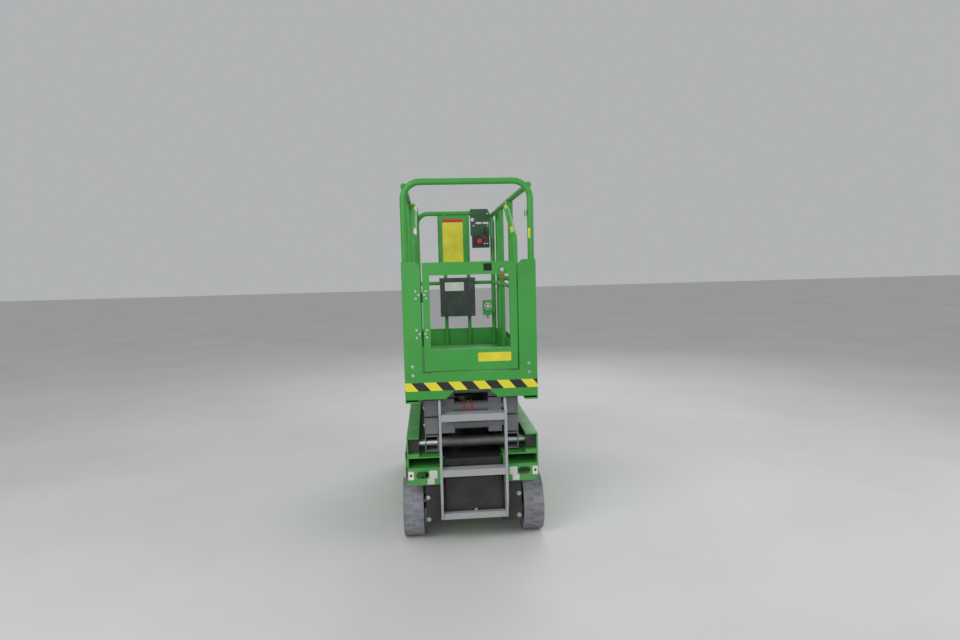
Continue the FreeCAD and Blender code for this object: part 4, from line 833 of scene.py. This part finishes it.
def wheel_details():
    """Nuts and a hub cap on each wheel, and nuts on the kingpins."""
    for name in WHEELS:
        low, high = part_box("rim_" + name)
        side = 1 if low.x > 0 else -1
        middle = (low + high) / 2
        inward = Vector((-side, 0, 0))
        places = []
        for i in range(NUT_COUNT):
            a = 2 * math.pi * (i + 0.5) / NUT_COUNT
            places.append((side, middle.y + NUT_RING * math.cos(a), middle.z + NUT_RING * math.sin(a)))
        bolts("nuts_" + name, "wheel_" + name, "rim_" + name, places, inward, "wheel")
        kit = Kit("hub_cap_" + name, "wheel_" + name, "steel")
        spot = seated("rim_" + name, (side, middle.y + HUB_PROBE, middle.z), inward)
        kit.form("hub_cap", (spot.x, middle.y, middle.z), -inward)
        kit.done()
    for name, hinge in KINGPINS:
        pivot = pivot_of(hinge)
        knuckle = "knuckle_" + name
        bolts("kingpin_nut_" + name, knuckle, knuckle, [(pivot.x, pivot.y, KINGPIN_Z)], DOWN, "kingpin")


def scissor_details():
    """Caps with a bolt on the ends of the arm pins, and two red hoses round a rear cross tube."""
    cap_height = FORMS["pin_cap"][1][-1][1]
    for hinge, kind, level in PIN_CAPS:
        pivot = pivot_of(hinge)
        kit = Kit("pin_caps_%s_%d" % (kind, level), "%s_arms_%d" % (kind, level), "steel")
        for side in (-1, 1):
            out = RIGHT * side
            spot = seated("scissor_%s_%d" % (kind, level), pivot + PIN_PROBE + out, -out)
            spot = Vector((spot.x, pivot.y, pivot.z))
            kit.form("pin_cap", spot, out)
            kit.bolt(spot + out * cap_height, out, "pin")
        kit.done()
    pivot = pivot_of("outer_3_fold")
    reach = CROSS_TUBE_R + HOSE_R
    kit = Kit("red_hoses", "inner_arms_2", "red_hose")
    for x in HOSE_XS:
        loop = []
        for a in range(0, 361, HOSE_TURN):
            sag = 0.0 if a <= 180 else HOSE_SAG
            turn = math.radians(a)
            loop.append((x, pivot.y + reach * math.cos(turn), pivot.z + reach * math.sin(turn) - sag))
            if a == 180:
                loop.append((x, pivot.y - reach, pivot.z - HOSE_SAG))
        kit.hose(loop, HOSE_R, steps=4)
    kit.done()


def shaft_details():
    """Bare steel on the shafts of the arm frames, and the thick tube round the lowest rear shaft."""
    reach = SHAFT_R + SHAFT_NEAR
    for node, hinge in SHAFTS:
        pivot = pivot_of(hinge)
        paint_faces(node, "steel", lambda spot: math.hypot(spot.y - pivot.y, spot.z - pivot.z) < reach)
    pivot = pivot_of("slides_lower_level")
    edge = seated("scissor_outer_1", pivot + UP * ARM_PROBE, RIGHT).x
    kit = Kit("shaft_tube", "outer_arms_1", "worn_steel")
    profile = ((SHAFT_TUBE_R, 0), (SHAFT_TUBE_R, 2 * edge))
    kit.turned(profile, (-edge, pivot.y, pivot.z), RIGHT, SHAFT_TUBE_SIDES)
    kit.done()


def cylinder_details():
    """Ports and a short hose on the lift cylinder."""
    base = pivot_of("cylinder_swing")
    axis = Vector(JOINTS["cylinder_stroke"]["axis"])
    spots = [seated("lift_barrel", base + axis * reach + RIGHT * PORT_PROBE, -RIGHT) for reach in PORTS]
    kit = Kit("barrel_ports", "lift_barrel", "steel")
    for spot in spots:
        kit.form("port", spot, RIGHT)
    kit.done()
    kit = Kit("barrel_hose", "lift_barrel", "black_rubber")
    start, end = [spot + RIGHT * PORT_HOSE_OUT for spot in spots]
    bulge = RIGHT * BARREL_HOSE_BULGE
    bend = axis * BARREL_HOSE_BEND
    points = (start, start + bend + bulge, (start + end) / 2 + bulge, end - bend + bulge, end)
    kit.hose(points, BARREL_HOSE_R)
    kit.done()


def tray_details():
    """Battery posts, caps and cables, and the latch knobs of both trays."""
    low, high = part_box("battery_block")
    long = (high.y - low.y - BATTERY_GAP * (BATTERY_COUNT - 1)) / BATTERY_COUNT
    middle = (low.x + high.x) / 2
    caps = Kit("battery_caps", "tray_left", "black_plastic")
    posts = Kit("battery_posts", "tray_left", "steel")
    cables = Kit("battery_cables", "tray_left", "black_rubber")
    last = None
    for i in range(BATTERY_COUNT):
        start = low.y + i * (long + BATTERY_GAP)
        for share in CELL_CAPS:
            spot = seated("battery_block", (middle, start + long * share, ABOVE), DOWN)
            caps.form("battery_cap", spot, -DOWN)
        ends = []
        for y in (start + TERMINAL_IN, start + long - TERMINAL_IN):
            spot = seated("battery_block", (middle + TERMINAL_X, y, ABOVE), DOWN)
            posts.form("battery_post", spot, -DOWN)
            ends.append(spot + UP * CABLE_RISE)
        if last:
            cables.hose([last, (last + ends[0]) / 2 + RIGHT * CABLE_BULGE, ends[0]], CABLE_R)
        last = ends[1]
    caps.done()
    posts.done()
    cables.done()
    for name, side in SIDES:
        outward = RIGHT * side
        kit = Kit("tray_knob_" + name, "tray_" + name, "black_plastic")
        kit.form("tray_knob", seated("tray_" + name, (side, KNOB_Y, KNOB_Z), -outward), outward)
        kit.done()


def studio():
    """Pale floor, soft light from above and behind the camera, and a pale world."""
    data = bpy.data.meshes.new("floor")
    corners = [(x * FLOOR_REACH, y * FLOOR_REACH, 0) for x, y in ((-1, -1), (1, -1), (1, 1), (-1, 1))]
    data.from_pydata(corners, [], [(0, 1, 2, 3)])
    floor = bpy.data.objects.new("floor", data)
    bpy.context.scene.collection.objects.link(floor)
    g = Graph("pale_floor")
    tone = g.mix(g.span(g.noise(0.8, detail=4.0), 0.3, 0.7), FLOOR_DARK, FLOOR_LIGHT)
    data.materials.append(g.finish(Base_Color=tone, Roughness=0.7))
    world = bpy.data.worlds.new("world")
    bpy.context.scene.world = world
    world.use_nodes = True
    sky = world.node_tree.nodes["Background"]
    sky.inputs["Color"].default_value = (*SKY, 1.0)
    sky.inputs["Strength"].default_value = SKY_STRENGTH
    for name, place, size, power in LAMPS:
        lamp = bpy.data.lights.new(name, "AREA")
        lamp.size = size
        lamp.energy = power
        lamp_object = bpy.data.objects.new(name, lamp)
        lamp_object.location = place
        lamp_object.rotation_euler = (LAMP_AIM - Vector(place)).to_track_quat("-Z", "Y").to_euler()
        bpy.context.scene.collection.objects.link(lamp_object)


def camera():
    """The photograph's view from the ladder end."""
    ahead = Vector((math.sin(YAW) * math.cos(PITCH), math.cos(YAW) * math.cos(PITCH), math.sin(PITCH)))
    level = Vector((math.cos(YAW), -math.sin(YAW), 0))
    above = level.cross(ahead)
    right = level * math.cos(ROLL) + above * math.sin(ROLL)
    up = above * math.cos(ROLL) - level * math.sin(ROLL)
    data = bpy.data.cameras.new("camera")
    data.sensor_width = SENSOR_WIDTH
    data.lens = LENS
    eye = bpy.data.objects.new("camera", data)
    eye.matrix_world = Matrix.Translation(EYE) @ Matrix((right, up, -ahead)).transposed().to_4x4()
    bpy.context.scene.collection.objects.link(eye)
    bpy.context.scene.camera = eye
    bpy.context.scene.view_settings.view_transform = "Standard"


dress_nodes()
gate_details()
post_details()
rail_details()
panel_details()
control_details()
outlet_details()
bumper_details()
tail_details()
ladder_details()
wheel_details()
scissor_details()
shaft_details()
cylinder_details()
tray_details()
studio()
camera()
